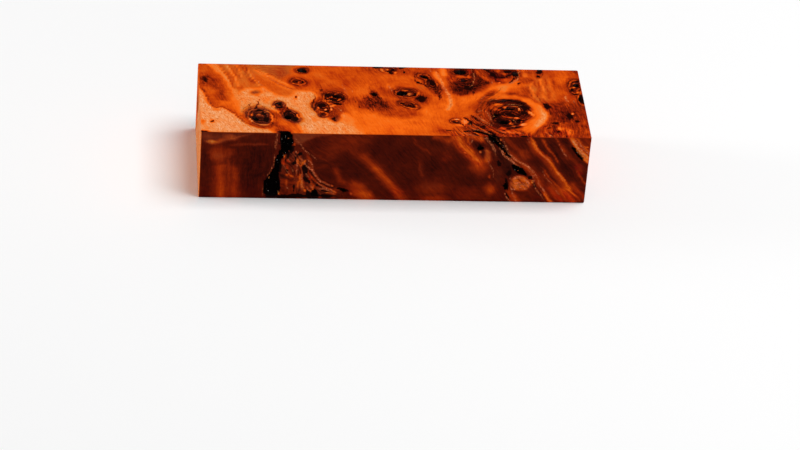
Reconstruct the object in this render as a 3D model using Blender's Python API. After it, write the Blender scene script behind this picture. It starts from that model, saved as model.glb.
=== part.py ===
"""A stabilized burl block: one sawn and sanded piece of dyed burl wood.

The block lies on its broad face. Its origin is the middle of that lower face, +X runs along
the grain, -Y is the deep side with the bark voids, and +Z is up. The pits are where bark,
buds and small hollows of the burl were cut open, so they have ragged outlines and taper
inwards.
"""

import math
import random

import bmesh
import bpy
from mathutils import Matrix, Vector

MM = 0.001

# Driving dimensions
LENGTH = 125.0 * MM
WIDTH = 40.0 * MM
HEIGHT = 25.5 * MM
ARRIS = 0.35 * MM  # width of the sanded ease along every edge
ARRIS_SEGMENTS = 2
LIFT = 1.5 * MM  # how far a cutter stands out of the face that it opens

# A face's frame: a point on the face where across and along are both zero,
# then the directions of along, of across and of inwards
FACES = {
    "top": ((0, 0, HEIGHT), (1, 0, 0), (0, 1, 0), (0, 0, -1)),
    "bottom": ((0, 0, 0), (1, 0, 0), (0, 1, 0), (0, 0, 1)),
    "front": ((0, -WIDTH / 2, 0), (1, 0, 0), (0, 0, 1), (0, 1, 0)),
    "back": ((0, WIDTH / 2, 0), (1, 0, 0), (0, 0, 1), (0, -1, 0)),
    "left": ((-LENGTH / 2, 0, 0), (0, 1, 0), (0, 0, 1), (1, 0, 0)),
    "right": ((LENGTH / 2, 0, 0), (0, 1, 0), (0, 0, 1), (-1, 0, 0)),
}

# Round pits, where a bud's dark core fell out. In millimetres on the face:
# along, across, length, breadth, turn in degrees, depth
PITS = {
    "top": [
        (-28.7, 16.5, 3.2, 2.2, 10, 1.0),
        (-34.3, -11.0, 2.8, 2.2, -35, 1.3),
        (-44.8, -12.2, 1.8, 2.6, 20, 0.8),
        (-36.8, -3.8, 1.4, 1.7, 0, 0.6),
        (-18.6, 1.6, 2.6, 1.6, -40, 0.9),
        (-5.8, 3.3, 1.3, 2.8, 12, 0.7),
        (3.2, 4.4, 4.0, 3.4, -10, 1.3),
        (11.0, 14.2, 3.6, 1.5, -42, 0.8),
        (23.4, 17.3, 3.4, 2.8, 0, 1.2),
        (24.0, 12.2, 2.6, 1.2, -15, 0.7),
        (37.6, -4.0, 4.0, 1.6, -12, 1.0),
        (32.5, -7.6, 2.4, 1.6, 30, 1.1),
        (34.8, -11.8, 3.0, 2.2, -15, 1.5),
        (40.0, -10.5, 2.2, 1.4, -40, 0.8),
        (41.5, 17.0, 2.4, 1.4, 35, 0.7),
        (61.0, 10.8, 2.0, 2.6, 0, 0.8),
    ],
    "front": [
        (-16.0, 3.5, 3.0, 1.4, -20, 0.7),
        (27.0, 20.8, 2.4, 1.8, 15, 0.8),
        (36.3, 6.0, 1.4, 3.6, 8, 0.9),
        (45.0, 8.0, 1.0, 1.0, 0, 0.5),
    ],
    "back": [
        (44.0, 17.0, 3.4, 2.4, 20, 1.2),
        (12.0, 9.0, 4.2, 2.0, -30, 1.4),
        (-24.0, 18.0, 2.6, 1.8, 10, 0.8),
        (-47.0, 7.5, 3.0, 2.2, -15, 1.1),
    ],
    "bottom": [
        (-38.0, 6.0, 3.0, 2.4, 20, 0.9),
        (-12.0, -9.0, 2.6, 1.8, -30, 0.8),
        (18.0, 8.0, 3.6, 2.6, 15, 1.1),
        (46.0, -7.0, 3.2, 2.2, -20, 1.0),
    ],
    "left": [(8.0, 17.0, 2.2, 1.4, 30, 0.6)],
    "right": [(9.5, 17.5, 2.8, 1.8, 70, 0.9), (-9.0, 9.0, 1.6, 3.2, 15, 0.7)],
}

# Long voids, where a fold of bark ran through. Each is a line of points in millimetres on
# the face: along, across, breadth, depth. A line that leaves the face opens the arris there.
FISSURES = {
    "front": {
        "upper void": [
            (-36.0, 27.0, 2.0, 0.7),
            (-35.8, 25.5, 2.8, 0.9),
            (-35.3, 24.2, 3.9, 2.0),
            (-35.0, 22.0, 3.9, 2.6),
            (-35.2, 19.5, 3.2, 2.3),
            (-36.4, 17.4, 2.0, 1.6),
            (-37.6, 14.6, 1.6, 1.2),
            (-38.0, 11.4, 1.8, 1.2),
            (-38.6, 8.8, 3.0, 1.8),
            (-39.2, 6.4, 4.9, 2.5),
            (-39.2, 3.6, 5.6, 2.6),
            (-39.1, 1.9, 4.8, 1.9),
            (-39.0, 0.9, 2.2, 0.7),
        ],
        "foot pocket": [
            (-25.2, 3.8, 1.0, 0.6),
            (-25.3, 2.2, 2.4, 1.3),
            (-25.4, 0.9, 1.6, 0.6),
        ],
        "shoulder fissure": [
            (29.4, 27.0, 2.2, 1.0),
            (30.4, 25.3, 2.3, 1.3),
            (32.4, 23.0, 2.0, 1.4),
            (34.2, 20.9, 1.6, 1.3),
            (36.0, 18.8, 1.1, 0.9),
            (37.4, 16.8, 0.7, 0.5),
        ],
        "hollow": [
            (37.6, 14.6, 0.8, 0.5),
            (39.2, 13.2, 2.0, 1.3),
            (40.6, 12.1, 2.5, 1.5),
            (41.9, 11.1, 1.4, 0.8),
            (42.8, 10.3, 0.7, 0.4),
        ],
        "corner crevice": [
            (56.2, 21.9, 0.7, 0.5),
            (58.0, 20.2, 1.5, 1.0),
            (59.6, 18.0, 1.4, 1.0),
            (60.8, 16.2, 0.7, 0.5),
        ],
    },
    "top": {
        "front fold": [
            (21.8, -16.6, 0.6, 0.4),
            (24.6, -17.2, 0.9, 0.6),
            (27.6, -18.0, 1.1, 0.8),
            (30.0, -19.4, 1.7, 1.2),
            (31.0, -22.0, 2.3, 1.5),
        ],
        "knot fold": [
            (31.6, -1.6, 0.6, 0.4),
            (34.0, 0.4, 0.8, 0.5),
            (37.8, 1.0, 0.9, 0.6),
            (41.4, 0.2, 0.9, 0.6),
            (43.6, -2.4, 0.8, 0.5),
            (44.0, -4.6, 0.5, 0.3),
        ],
        "edge void": [
            (61.7, 0.4, 0.5, 0.4),
            (61.4, 1.5, 1.1, 1.2),
            (61.3, 3.2, 1.3, 1.4),
            (61.6, 4.6, 0.6, 0.5),
        ],
    },
    "back": {
        "bark seam": [
            (31.4, 22.6, 0.9, 0.6),
            (30.6, 20.0, 2.4, 1.8),
            (29.0, 16.4, 2.8, 2.0),
            (27.6, 12.6, 1.1, 0.8),
        ],
        "low seam": [
            (-8.0, -2.0, 4.2, 2.4),
            (-8.6, 2.0, 3.8, 2.2),
            (-10.2, 5.4, 2.2, 1.4),
            (-12.4, 7.6, 0.9, 0.6),
        ],
    },
    "bottom": {
        "bottom seam": [
            (26.0, -10.0, 0.8, 0.5),
            (29.4, -7.6, 1.8, 1.1),
            (33.4, -6.6, 2.0, 1.2),
            (37.0, -4.0, 0.8, 0.5),
        ],
    },
}

# A round pit's rings, from the one above the face to the one at its floor:
# share of its size, share of its depth
PIT_RINGS = [(1.06, None), (1.0, 0.0), (0.88, 0.4), (0.66, 0.75), (0.34, 1.0)]
PIT_SIDES = 9
PIT_RAGGED = 0.16  # how far an outline wanders, as a share of its radius

# A long void's section, from one lip to the other: share of its half breadth, share of its depth
FISSURE_SECTION = [
    (-1.05, None),
    (-1.0, 0.0),
    (-0.74, 0.62),
    (-0.2, 1.0),
    (0.32, 0.93),
    (0.8, 0.5),
    (1.0, 0.0),
    (1.05, None),
]
FISSURE_RAGGED = 0.12


def clear_scene():
    for thing in list(bpy.data.objects):
        bpy.data.objects.remove(thing, do_unlink=True)


def wood_material():
    """Dyed and resin-filled burl, sanded to a satin."""
    wood = bpy.data.materials.new("dyed_burl")
    wood.use_nodes = True
    shader = wood.node_tree.nodes["Principled BSDF"]
    shader.inputs["Base Color"].default_value = (0.52, 0.11, 0.02, 1.0)
    shader.inputs["Roughness"].default_value = 0.35
    shader.inputs["Metallic"].default_value = 0.0
    return wood


def sawn_block():
    """The plain block, resting on z = 0, with its edges eased."""
    mesh = bpy.data.meshes.new("burl_block")
    shape = bmesh.new()
    bmesh.ops.create_cube(shape, size=1.0)
    bmesh.ops.scale(shape, vec=(LENGTH, WIDTH, HEIGHT), verts=shape.verts)
    bmesh.ops.translate(shape, vec=(0, 0, HEIGHT / 2), verts=shape.verts)
    bmesh.ops.bevel(
        shape,
        geom=shape.edges[:],
        offset=ARRIS,
        segments=ARRIS_SEGMENTS,
        profile=0.5,
        affect="EDGES",
    )
    shape.to_mesh(mesh)
    shape.free()
    block = bpy.data.objects.new("burl_block", mesh)
    bpy.context.scene.collection.objects.link(block)
    return block


def face_frame(face):
    """The matrix from (along, across, inwards) on a face to the block's own axes."""
    origin, along, across, inwards = FACES[face]
    turn = Matrix((along, across, inwards)).transposed()
    return Matrix.Translation(Vector(origin)) @ turn.to_4x4()


def as_cutter(name, rows, face, ring_closed):
    """Skin the rows of points, which all have the same count, and cap the first and last."""
    shape = bmesh.new()
    loops = [[shape.verts.new(point) for point in row] for row in rows]
    count = len(rows[0])
    last = count if ring_closed else count - 1
    for lower, upper in zip(loops, loops[1:]):
        for i in range(last):
            j = (i + 1) % count
            shape.faces.new((lower[i], lower[j], upper[j], upper[i]))
        if not ring_closed:
            shape.faces.new((lower[-1], lower[0], upper[0], upper[-1]))
    shape.faces.new(loops[0][::-1])
    shape.faces.new(loops[-1])
    bmesh.ops.transform(shape, matrix=face_frame(face), verts=shape.verts)
    bmesh.ops.triangulate(shape, faces=shape.faces[:])
    bmesh.ops.recalc_face_normals(shape, faces=shape.faces[:])
    mesh = bpy.data.meshes.new(name)
    shape.to_mesh(mesh)
    shape.free()
    cutter = bpy.data.objects.new(name, mesh)
    cutter.hide_render = True
    cutter.display_type = "WIRE"
    bpy.context.scene.collection.objects.link(cutter)
    return cutter


def pit_cutter(name, face, values):
    """A ragged cup that narrows to its floor."""
    along, across, length, breadth, turn, depth = values
    draw = random.Random(name)
    reach = [1 + draw.uniform(-PIT_RAGGED, PIT_RAGGED) for _ in range(PIT_SIDES)]
    drift = Vector((draw.uniform(-0.2, 0.2), draw.uniform(-0.2, 0.2))) * min(length, breadth)
    tilt = math.radians(turn)
    rows = []
    for share, sunk in PIT_RINGS:
        level = -LIFT if sunk is None else sunk * depth * MM
        middle = Vector((along, across)) + drift * (sunk or 0.0)
        row = []
        for i in range(PIT_SIDES):
            angle = 2 * math.pi * i / PIT_SIDES
            p = share * reach[i] * length / 2 * math.cos(angle)
            q = share * reach[i] * breadth / 2 * math.sin(angle)
            x = middle.x + p * math.cos(tilt) - q * math.sin(tilt)
            y = middle.y + p * math.sin(tilt) + q * math.cos(tilt)
            row.append(Vector((x * MM, y * MM, level)))
        rows.append(row)
    return as_cutter(name, rows, face, ring_closed=True)


def fissure_cutter(name, face, line):
    """A ragged trough that follows a line of points."""
    draw = random.Random(name)
    points = [Vector(entry[:2]) for entry in line]
    rows = []
    for i, (along, across, breadth, depth) in enumerate(line):
        before = points[max(i - 1, 0)]
        after = points[min(i + 1, len(points) - 1)]
        ahead = (after - before).normalized()
        side = Vector((-ahead.y, ahead.x))
        row = []
        for share, sunk in FISSURE_SECTION:
            wander = 1 + draw.uniform(-FISSURE_RAGGED, FISSURE_RAGGED)
            place = Vector((along, across)) + side * (share * breadth / 2 * wander)
            level = -LIFT if sunk is None else sunk * depth * wander * MM
            row.append(Vector((place.x * MM, place.y * MM, level)))
        rows.append(row)
    return as_cutter(name, rows, face, ring_closed=False)


def cut(block, cutter):
    opening = block.modifiers.new(cutter.name, "BOOLEAN")
    opening.operation = "DIFFERENCE"
    opening.solver = "EXACT"
    opening.object = cutter


def main():
    clear_scene()
    block = sawn_block()
    block.data.materials.append(wood_material())
    for face, pits in PITS.items():
        for i, values in enumerate(pits):
            cut(block, pit_cutter(f"{face}_pit_{i + 1}", face, values))
    for face, fissures in FISSURES.items():
        for name, line in fissures.items():
            cut(block, fissure_cutter(name.replace(" ", "_"), face, line))


main()
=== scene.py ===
# %% [markdown]
# # A stabilized burl block
#
# Burl is the knotty wood of a tree's swellings. A sawn block of it is soaked in dyed resin under
# vacuum, cured hard and sanded to a satin. The block is a plain box, so nearly all of its look
# is in the figure: growth rings that close round buds, fibres that swirl, bark folds and voids.
#
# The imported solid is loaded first. It fixes the block's size and the place of every pit, and
# all that follows is measured from it.

import math

import bmesh
import bpy
import numpy as np
from mathutils import Matrix, Vector, noise
from mathutils.bvhtree import BVHTree


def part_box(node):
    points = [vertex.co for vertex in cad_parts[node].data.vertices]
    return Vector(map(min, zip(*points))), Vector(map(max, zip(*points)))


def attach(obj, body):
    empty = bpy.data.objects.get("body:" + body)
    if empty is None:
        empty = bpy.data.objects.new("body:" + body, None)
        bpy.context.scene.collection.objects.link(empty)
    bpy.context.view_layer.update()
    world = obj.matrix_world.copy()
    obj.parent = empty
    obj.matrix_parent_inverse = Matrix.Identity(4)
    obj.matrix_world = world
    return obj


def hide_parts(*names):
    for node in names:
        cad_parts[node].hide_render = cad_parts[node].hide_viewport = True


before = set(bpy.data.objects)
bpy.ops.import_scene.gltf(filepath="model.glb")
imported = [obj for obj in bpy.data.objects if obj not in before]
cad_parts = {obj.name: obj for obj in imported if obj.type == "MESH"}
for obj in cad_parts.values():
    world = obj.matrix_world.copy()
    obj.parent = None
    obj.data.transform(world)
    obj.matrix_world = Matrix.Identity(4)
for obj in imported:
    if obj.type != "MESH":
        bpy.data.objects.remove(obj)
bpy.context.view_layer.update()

MM = 0.001
low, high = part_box("burl_block")
size = high - low
LENGTH, WIDTH, HEIGHT = (round(side / MM, 3) for side in size)
print(f"The block is {LENGTH} x {WIDTH} x {HEIGHT} mm")

# %% [markdown]
# ## The camera
#
# The camera was found from the block's six visible corners: it is far away with a long lens,
# a little to the left, 35 degrees above the block, and slightly tilted. An azimuth, an
# elevation and a distance from a target are easy to read and to change, so the camera's
# axes are worked out from them here.

# %% Place the camera
AZIMUTH = math.radians(-6.78)
ELEVATION = math.radians(35.1)
ROLL = math.radians(4.73)
LENS = 153.4
SENSOR_WIDTH = 36.0
CLIP_START = 0.05
DISTANCE = 1129.6 * MM
TARGET = Vector((5.58, 0.0, -23.88)) * MM

back = Vector((
    math.sin(AZIMUTH) * math.cos(ELEVATION),
    -math.cos(AZIMUTH) * math.cos(ELEVATION),
    math.sin(ELEVATION),
))
level_right = (-back).cross(Vector((0, 0, 1))).normalized()
level_up = level_right.cross(-back)
right = level_right * math.cos(ROLL) + level_up * math.sin(ROLL)
up = level_up * math.cos(ROLL) - level_right * math.sin(ROLL)

camera = bpy.data.objects.new("camera", bpy.data.cameras.new("camera"))
bpy.context.scene.collection.objects.link(camera)
camera.data.lens = LENS
camera.data.sensor_width = SENSOR_WIDTH
camera.data.clip_start = CLIP_START
turn = Matrix((right, up, back)).transposed().to_4x4()
camera.matrix_world = Matrix.Translation(TARGET + back * DISTANCE) @ turn
bpy.context.scene.camera = camera
print("Camera at", [round(c, 3) for c in camera.matrix_world.translation])

# %% [markdown]
# ## Floor and light
#
# The block lies on a pale floor. A large soft lamp hangs high over it and to the right, so the
# top is bright and the long side towards the camera stays deep. A small lamp stands low at the
# left and lights the pale left end without lighting the front. A weak even sky fills the
# shadows. The floor and the sky are left out of reflections, which keeps the deep side rich.


# %% Set the floor, the two lamps and the sky
KEY_PLACE = (0.45, -0.04, 1.30)
KEY_SIDE = 0.80
KEY_POWER = 16.2
LEFT_PLACE = (-0.75, 0.12, 0.12)
LEFT_SIDE = 0.20
LEFT_POWER = 2.3
FLOOR_SIDE = 6.0
FLOOR_GAP = 0.02 * MM
FLOOR_WHITE = (0.97, 0.97, 0.97, 1)
FLOOR_ROUGHNESS = 0.9
SKY_STRENGTH = 0.22


def area_lamp(name, place, aim, side, power):
    """A square lamp that shines at a point."""
    data = bpy.data.lights.new(name, "AREA")
    data.shape = "SQUARE"
    data.size = side
    data.energy = power
    lamp = bpy.data.objects.new(name, data)
    bpy.context.scene.collection.objects.link(lamp)
    lamp.location = place
    lamp.rotation_euler = (Vector(aim) - Vector(place)).to_track_quat("-Z", "Y").to_euler()


middle = (low + high) / 2
area_lamp("key lamp", KEY_PLACE, middle, KEY_SIDE, KEY_POWER)
area_lamp("left lamp", LEFT_PLACE, middle, LEFT_SIDE, LEFT_POWER)

bpy.ops.mesh.primitive_plane_add(size=FLOOR_SIDE, location=(0, 0, -FLOOR_GAP))
floor = bpy.context.object
floor.name = "floor"
floor.visible_glossy = False
floor_paint = bpy.data.materials.new("pale floor")
floor_paint.use_nodes = True
floor_shader = floor_paint.node_tree.nodes["Principled BSDF"]
floor_shader.inputs["Base Color"].default_value = FLOOR_WHITE
floor_shader.inputs["Roughness"].default_value = FLOOR_ROUGHNESS
floor.data.materials.append(floor_paint)

world = bpy.data.worlds.new("sky")
world.use_nodes = True
background = world.node_tree.nodes["Background"]
background.inputs["Color"].default_value = (1, 1, 1, 1)
background.inputs["Strength"].default_value = SKY_STRENGTH
bpy.context.scene.world = world
world.cycles_visibility.glossy = False
bpy.context.scene.view_settings.view_transform = "Standard"
print("Floor, two lamps and an even sky are set")

# %% [markdown]
# ## The sawn block
#
# It starts as a cube at the block's own size. In edit mode its edges are eased, and it is cut
# into small squares: selecting only the edges that run one way and subdividing them cuts
# straight across, like a row of saw cuts. The two faces with the finest figure are then cut
# once more. The squares carry the pits and the drawn figure, so they are about a third of a
# millimetre there.

# %% Saw the block
ARRIS = 0.35
COARSE = 0.74
NEARLY_ALL = 0.9
SQUARE_ON = 0.99


def edit_mesh(piece):
    """Select one piece alone and open its mesh to edit its edges."""
    bpy.ops.object.select_all(action="DESELECT")
    piece.select_set(True)
    bpy.context.view_layer.objects.active = piece
    bpy.ops.object.mode_set(mode="EDIT")
    bpy.ops.mesh.select_mode(type="EDGE")
    return bmesh.from_edit_mesh(piece.data)


def cut_across(piece, axis, length):
    """Cut every long edge that runs along an axis into coarse squares."""
    shape = edit_mesh(piece)
    for edge in shape.edges:
        run = edge.verts[1].co - edge.verts[0].co
        edge.select = abs(run[axis]) > NEARLY_ALL * (length - 2 * ARRIS) * MM
    bmesh.update_edit_mesh(piece.data)
    bpy.ops.mesh.subdivide(number_cuts=round(length / COARSE) - 1)
    bpy.ops.object.mode_set(mode="OBJECT")


bpy.ops.object.select_all(action="DESELECT")
bpy.ops.mesh.primitive_cube_add(size=1.0, location=middle, scale=size)
block = bpy.context.object
block.name = "dyed_burl_block"
bpy.ops.object.transform_apply(location=True, rotation=True, scale=True)
bpy.ops.object.mode_set(mode="EDIT")
bpy.ops.mesh.select_all(action="SELECT")
bpy.ops.mesh.bevel(offset=ARRIS * MM, segments=2, profile=0.5, affect="EDGES")
bpy.ops.object.mode_set(mode="OBJECT")
for axis, length in enumerate((LENGTH, WIDTH, HEIGHT)):
    cut_across(block, axis, length)

shape = edit_mesh(block)
bpy.ops.mesh.select_mode(type="FACE")
for face in shape.faces:
    face.select = face.normal.z > SQUARE_ON or face.normal.y < -SQUARE_ON
bmesh.update_edit_mesh(block.data)
bpy.ops.mesh.subdivide(number_cuts=1)
bpy.ops.object.mode_set(mode="OBJECT")
print(f"Sawn: {len(block.data.vertices)} points, {len(block.data.polygons)} faces")

# %% [markdown]
# ## Six faces, each with its own flat coordinates
#
# Every point belongs to the face that its normal leans to most. The figure is drawn face by
# face in millimetres: along the block and across it, or up it. Two more numbers, across the
# fibres and along them, run on over the arrises, so that the fine grain turns the corner.

# %% Sort the points by face
count = len(block.data.vertices)
place = np.zeros(count * 3)
block.data.vertices.foreach_get("co", place)
place = place.reshape(-1, 3) / MM
outward = np.zeros(count * 3)
block.data.vertices.foreach_get("normal", outward)
outward = outward.reshape(-1, 3)
x, y, z = place.T

FACE_NORMALS = {
    "top": (0, 0, 1),
    "front": (0, -1, 0),
    "back": (0, 1, 0),
    "bottom": (0, 0, -1),
    "left": (-1, 0, 0),
    "right": (1, 0, 0),
}
nearest = np.argmax(outward @ np.array(list(FACE_NORMALS.values())).T, axis=1)
on_face = {name: np.flatnonzero(nearest == i) for i, name in enumerate(FACE_NORMALS)}
FLAT = {
    "top": (x, y),
    "bottom": (x, y),
    "front": (x, z),
    "back": (x, z),
    "left": (y, z),
    "right": (y, z),
}


def is_on(*names):
    """Which points lie on the named faces."""
    return np.isin(nearest, [list(FACE_NORMALS).index(name) for name in names])


print("Points by face:", {name: len(points) for name, points in on_face.items()})

# %% [markdown]
# ## Pressing in the pits
#
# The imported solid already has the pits, as plain facets. Each point of the sawn block looks
# inwards, straight in on the open faces and at a slant near an arris, and moves to where it
# meets that solid. On a flat face it meets it at once and stays. Then the pits' walls are
# softened a little and roughened with a fractal noise, which makes bark of the facets.

# %% Press in the pits
CORE_INSET = 8.0
START_OUT = 0.4
SHALLOWEST = 0.06
NOISE_FADE = 0.9
NOISE_STEP = 2.1
PERLIN = "PERLIN_ORIGINAL"
EDGE_SINK = 0.35
PIT_FROM = 0.02
BARK_GRAIN = 0.9
BARK_ROUGHNESS = 0.55

half = np.array([LENGTH, WIDTH, HEIGHT]) / 2
centre = np.array([0, 0, HEIGHT / 2])
core = np.clip(place - centre, -(half - CORE_INSET), half - CORE_INSET) + centre
inward = core - place
inward /= np.linalg.norm(inward, axis=1)[:, None]

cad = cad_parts["burl_block"]
solid = BVHTree.FromPolygons(
    [v.co.copy() for v in cad.data.vertices], [tuple(p.vertices) for p in cad.data.polygons]
)
sink = np.zeros(count)
for i in range(count):
    start = Vector(place[i] - inward[i] * START_OUT) * MM
    found = solid.ray_cast(start, Vector(inward[i]), CORE_INSET * MM)
    if found[0] is not None:
        sink[i] = max(found[3] / MM - START_OUT, 0.0)
sink[sink < SHALLOWEST] = 0.0


def neighbour_mean(values):
    """Average each point with those it shares an edge with."""
    ends = np.zeros(len(block.data.edges) * 2, int)
    block.data.edges.foreach_get("vertices", ends)
    first, second = ends.reshape(-1, 2).T
    degree = np.bincount(ends, minlength=count)
    total = np.bincount(first, values[second], count)
    total = total + np.bincount(second, values[first], count)
    return 0.5 * values + 0.5 * total / degree


def grain_noise(points, scale, octaves, seed):
    """A fractal noise over points in millimetres, about -1 to 1."""
    lift = Vector((seed * 17.3, seed * 5.1, seed * 9.7))
    return np.array([
        noise.fractal(Vector(p) / scale + lift, NOISE_FADE, NOISE_STEP, octaves, noise_basis=PERLIN)
        for p in points
    ])


open_to = neighbour_mean(sink)
open_to[sink == 0] *= EDGE_SINK
in_pit = np.flatnonzero(open_to > PIT_FROM)
how_open = np.clip(open_to[in_pit], 0, 1)
rough = np.zeros(count)
rough[in_pit] = grain_noise(place[in_pit], BARK_GRAIN, 4, 1) * how_open * BARK_ROUGHNESS
sunk = np.clip(open_to + rough, 0, None)
place_sunk = place + inward * sunk[:, None]
print(f"{len(in_pit)} points lie in pits, the deepest {sunk.max():.2f} mm down")

# %% [markdown]
# ## Tools to draw the figure with
#
# The figure is drawn as a wood carver would sketch it: areas of pale or dark wood, soft
# smudges, round buds with rings, and lines. Each is a few points in millimetres.
# The sketch isn't a picture, though. It is kept as a few smooth numbers at every point, such
# as how dark the wood is and how far the nearest ring system lies, and the material turns
# those into colour with its own fibres, pores and rings.


# %% Make the drawing tools
def smooth_step(start, end, values):
    """0 at the start, 1 at the end, and smooth between."""
    share = np.clip((values - start) / (end - start), 0, 1)
    return share * share * (3 - 2 * share)


def smooth_curve(points, steps=7):
    """A rounded line through given points."""
    p = np.array(points, float)
    if len(p) < 3:
        return p
    ends = np.vstack([2 * p[0] - p[1], p, 2 * p[-1] - p[-2]])
    t = np.linspace(0, 1, steps, endpoint=False)[:, None]
    parts = []
    for a, b, c, d in zip(ends, ends[1:], ends[2:], ends[3:]):
        bend = (2 * a - 5 * b + 4 * c - d) * t**2
        twist = (3 * b - a - 3 * c + d) * t**3
        parts.append(0.5 * (2 * b + (c - a) * t + bend + twist))
    return np.vstack(parts + [p[-1:]])


def distance_to(u, v, curve):
    """How far each point is from a line, and how far along it, from 0 to 1."""
    best = np.full(len(u), 1e9)
    along = np.zeros(len(u))
    steps = len(curve) - 1
    for i in range(steps):
        (au, av), (bu, bv) = curve[i], curve[i + 1]
        du, dv = bu - au, bv - av
        share = np.clip(((u - au) * du + (v - av) * dv) / max(du * du + dv * dv, 1e-9), 0, 1)
        distance = np.hypot(u - au - share * du, v - av - share * dv)
        nearer = distance < best
        best[nearer] = distance[nearer]
        along[nearer] = (i + share[nearer]) / steps
    return best, along


def inside(u, v, outline):
    """Whether each point lies within a closed outline."""
    within = np.zeros(len(u), bool)
    for (au, av), (bu, bv) in zip(outline, np.roll(outline, -1, axis=0)):
        crosses = (av > v) != (bv > v)
        with np.errstate(divide="ignore", invalid="ignore"):
            within ^= crosses & (u < (bu - au) * (v - av) / (bv - av) + au)
    return within


def sway(points, seed):
    """How far points wander off, in slow waves and quick ones."""
    return grain_noise(points, 5.0, 2, seed) + 0.6 * grain_noise(points, 1.5, 2, seed + 1)


print("Curves, distances and outlines are ready")

# %% [markdown]
# One class holds the sketch of a face, as seven numbers for each point: its tone, how warm it is,
# how crumpled, how much dye it took, and how far it lies from the nearest bud's rim and inside a
# pale or a dark line. There is a method for each kind of mark, which finds the points near it and
# blends its own numbers into theirs. The face's coordinates wander a little, so that no drawn
# edge is smoother than wood is.

# %% Make the sketch of a face
RING_REACH = 6.0
OFF_LINES = -2.0
LINE_REACH = 2.5
BLUNT_END = 0.15
CORE_REACH = 2.4
CORE_RIM_TONE = 0.64
CORE_RIM_REACH = 2.2
CORE_RIM_SHARE = 0.7
EYE_REACH = 2.6
EYE_RIM_TONE = 0.66
EYE_WARM = 0.1
HALO_DYE = 0.30
HALO_REACH = 2.3
IN_PALE_WOOD = (0.34, 0.22)
SMOKY_BROWN = -0.65
HIGHLIGHT_OR_PATCH_REACH = 1.4
FADED_END = 0.3


def turned(du, dv, degrees):
    """Steps across and up a face, as steps along axes that are turned on it."""
    c, s = math.cos(math.radians(degrees)), math.sin(math.radians(degrees))
    return du * c + dv * s, dv * c - du * s


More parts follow.
